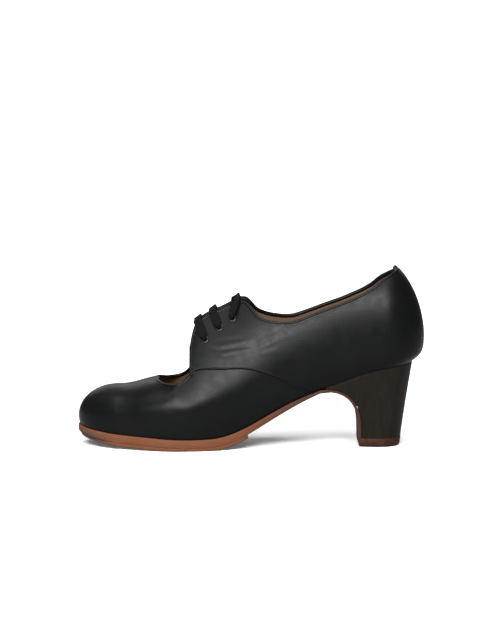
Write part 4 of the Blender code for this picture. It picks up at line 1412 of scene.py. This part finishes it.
def build_camera():
    """Side view from a little above the floor, with the shoe where it stands in the photo."""
    data = bpy.data.cameras.new("camera")
    camera = add_object("camera", data)
    floor_row = FLOOR_ROW + (FLOOR_COLUMN - IMAGE_CENTRE[0]) * FLOOR_SLOPE
    target = Vector(((IMAGE_CENTRE[0] - ORIGIN_COLUMN) * METRES_PER_PIXEL, 0,
                     (floor_row - IMAGE_CENTRE[1]) * METRES_PER_PIXEL / math.cos(CAMERA_ELEVATION)))
    direction = Vector((0, -math.cos(CAMERA_ELEVATION), math.sin(CAMERA_ELEVATION)))
    camera.location = target + direction * CAMERA_DISTANCE
    facing = (-direction).to_track_quat("-Z", "Y").to_matrix()
    camera.rotation_euler = (facing @ Matrix.Rotation(CAMERA_ROLL, 3, "Z")).to_euler()
    data.sensor_fit = "HORIZONTAL"
    data.sensor_width = 36
    data.lens = data.sensor_width * CAMERA_DISTANCE / (IMAGE_WIDTH * METRES_PER_PIXEL)
    bpy.context.scene.camera = camera


def add_light(name, location, target, size, power):
    data = bpy.data.lights.new(name, "AREA")
    data.shape = "RECTANGLE"
    data.size, data.size_y = size
    data.energy = power
    light = add_object(name, data)
    light.location = location
    light.rotation_euler = (Vector(target) - Vector(location)).to_track_quat("-Z", "Y").to_euler()


def build_light():
    """White surroundings that the camera sees, dimmer ones that the leather mirrors, soft boxes."""
    world = bpy.data.worlds.new("studio")
    bpy.context.scene.world = world
    world.use_nodes = True
    tree = world.node_tree
    background = tree.nodes["Background"]
    ray = tree.nodes.new("ShaderNodeLightPath")
    level = tree.nodes.new("ShaderNodeMapRange")
    level.inputs["To Min"].default_value = MIRRORED_WORLD
    level.inputs["To Max"].default_value = 1.0
    tree.links.new(ray.outputs["Is Camera Ray"], level.inputs["Value"])
    tree.links.new(level.outputs["Result"], background.inputs["Strength"])
    background.inputs["Color"].default_value = (1, 1, 1, 1)
    middle = (-0.09, 0, 0.05)
    add_light("key_box", (-0.25, -1.25, 0.9), middle, (1.1, 0.32), 46)
    add_light("top_box", (-0.15, -0.25, 1.5), middle, (1.6, 1.1), 28)
    add_light("back_box", (-0.1, 1.4, 0.7), middle, (1.6, 0.6), 4)


def build_floor():
    data = bpy.data.meshes.new("floor")
    corners = [(x * FLOOR_HALF, y * FLOOR_HALF, 0) for x, y in ((-1, -1), (1, -1), (1, 1), (-1, 1))]
    data.from_pydata(corners, [], [(0, 1, 2, 3)])
    floor = add_object("floor", data)
    shader = Shader("white_paper")
    shader.surface(0.9, 0.1)
    shader.set("Emission Color", (1, 1, 1, 1))
    near = shader.coords()
    away = shader.tree.nodes.new("ShaderNodeVectorMath")
    away.operation = "LENGTH"
    shader.link(near, away.inputs[0])
    glow = shader.ramp(away.outputs["Value"], 0.25, 0.7, 0.12, 1.0)
    seen = shader.tree.nodes.new("ShaderNodeLightPath").outputs["Is Camera Ray"]
    shader.colour(shader.mix(seen, (0.42, 0.42, 0.42), (0.9, 0.9, 0.9)))
    shader.link(shader.math("MULTIPLY", glow, seen), shader.main.inputs["Emission Strength"])
    data.materials.append(shader.made)


def main():
    build_camera()
    cotton = cotton_finish()
    lace, path, length = build_lace(cotton)
    knot = build_knot(cotton)
    print("lace length", round(length, 4))
    exit_at = tuple(eyelet_frame(LATERAL, EYELETS[-1]).translation)
    leather = leather_finish("black_calf", (0.0022, 0.0024, 0.0024), (0.0036, 0.0039, 0.0039), 0.36)
    # The binding's colour is a touch lighter than the calf's: painted sheen on the bound edges and the
    # piping.
    bound = leather_finish("black_binding", (0.0024, 0.0025, 0.0026), (0.0038, 0.0040, 0.0041), 0.36, 0.5)
    build_vamp(leather)
    build_quarter(leather)
    build_linings(lining_finish())
    half_quarter = (WALL + OVERLAP_STEP) / 2
    build_binding("cut_out_binding", cut_out_run(), -WALL / 2, WALL / 2, bound)
    build_binding("collar_binding", quarter_run(), (OVERLAP_STEP - WALL) / 2, half_quarter, bound)
    build_piping(bound)
    build_stitches(thread_finish("black_thread", (0.006, 0.0062, 0.0064)))
    build_back_seam(leather, thread_finish("grey_thread", (0.05, 0.048, 0.045)))
    sole = sole_finish()
    build_outsole(sole)
    build_half_sole(sole)
    build_heel(wood_finish())
    build_top_lift(lift_finish())
    build_insole(lining_finish())
    build_nails(nail_finish())
    enamel = enamel_finish()
    for side in SIDES:
        for number, spot in enumerate(EYELETS, 1):
            build_eyelet(side, number, spot, enamel)
    build_light()
    build_floor()
    bpy.context.scene.view_settings.view_transform = "Standard"


main()
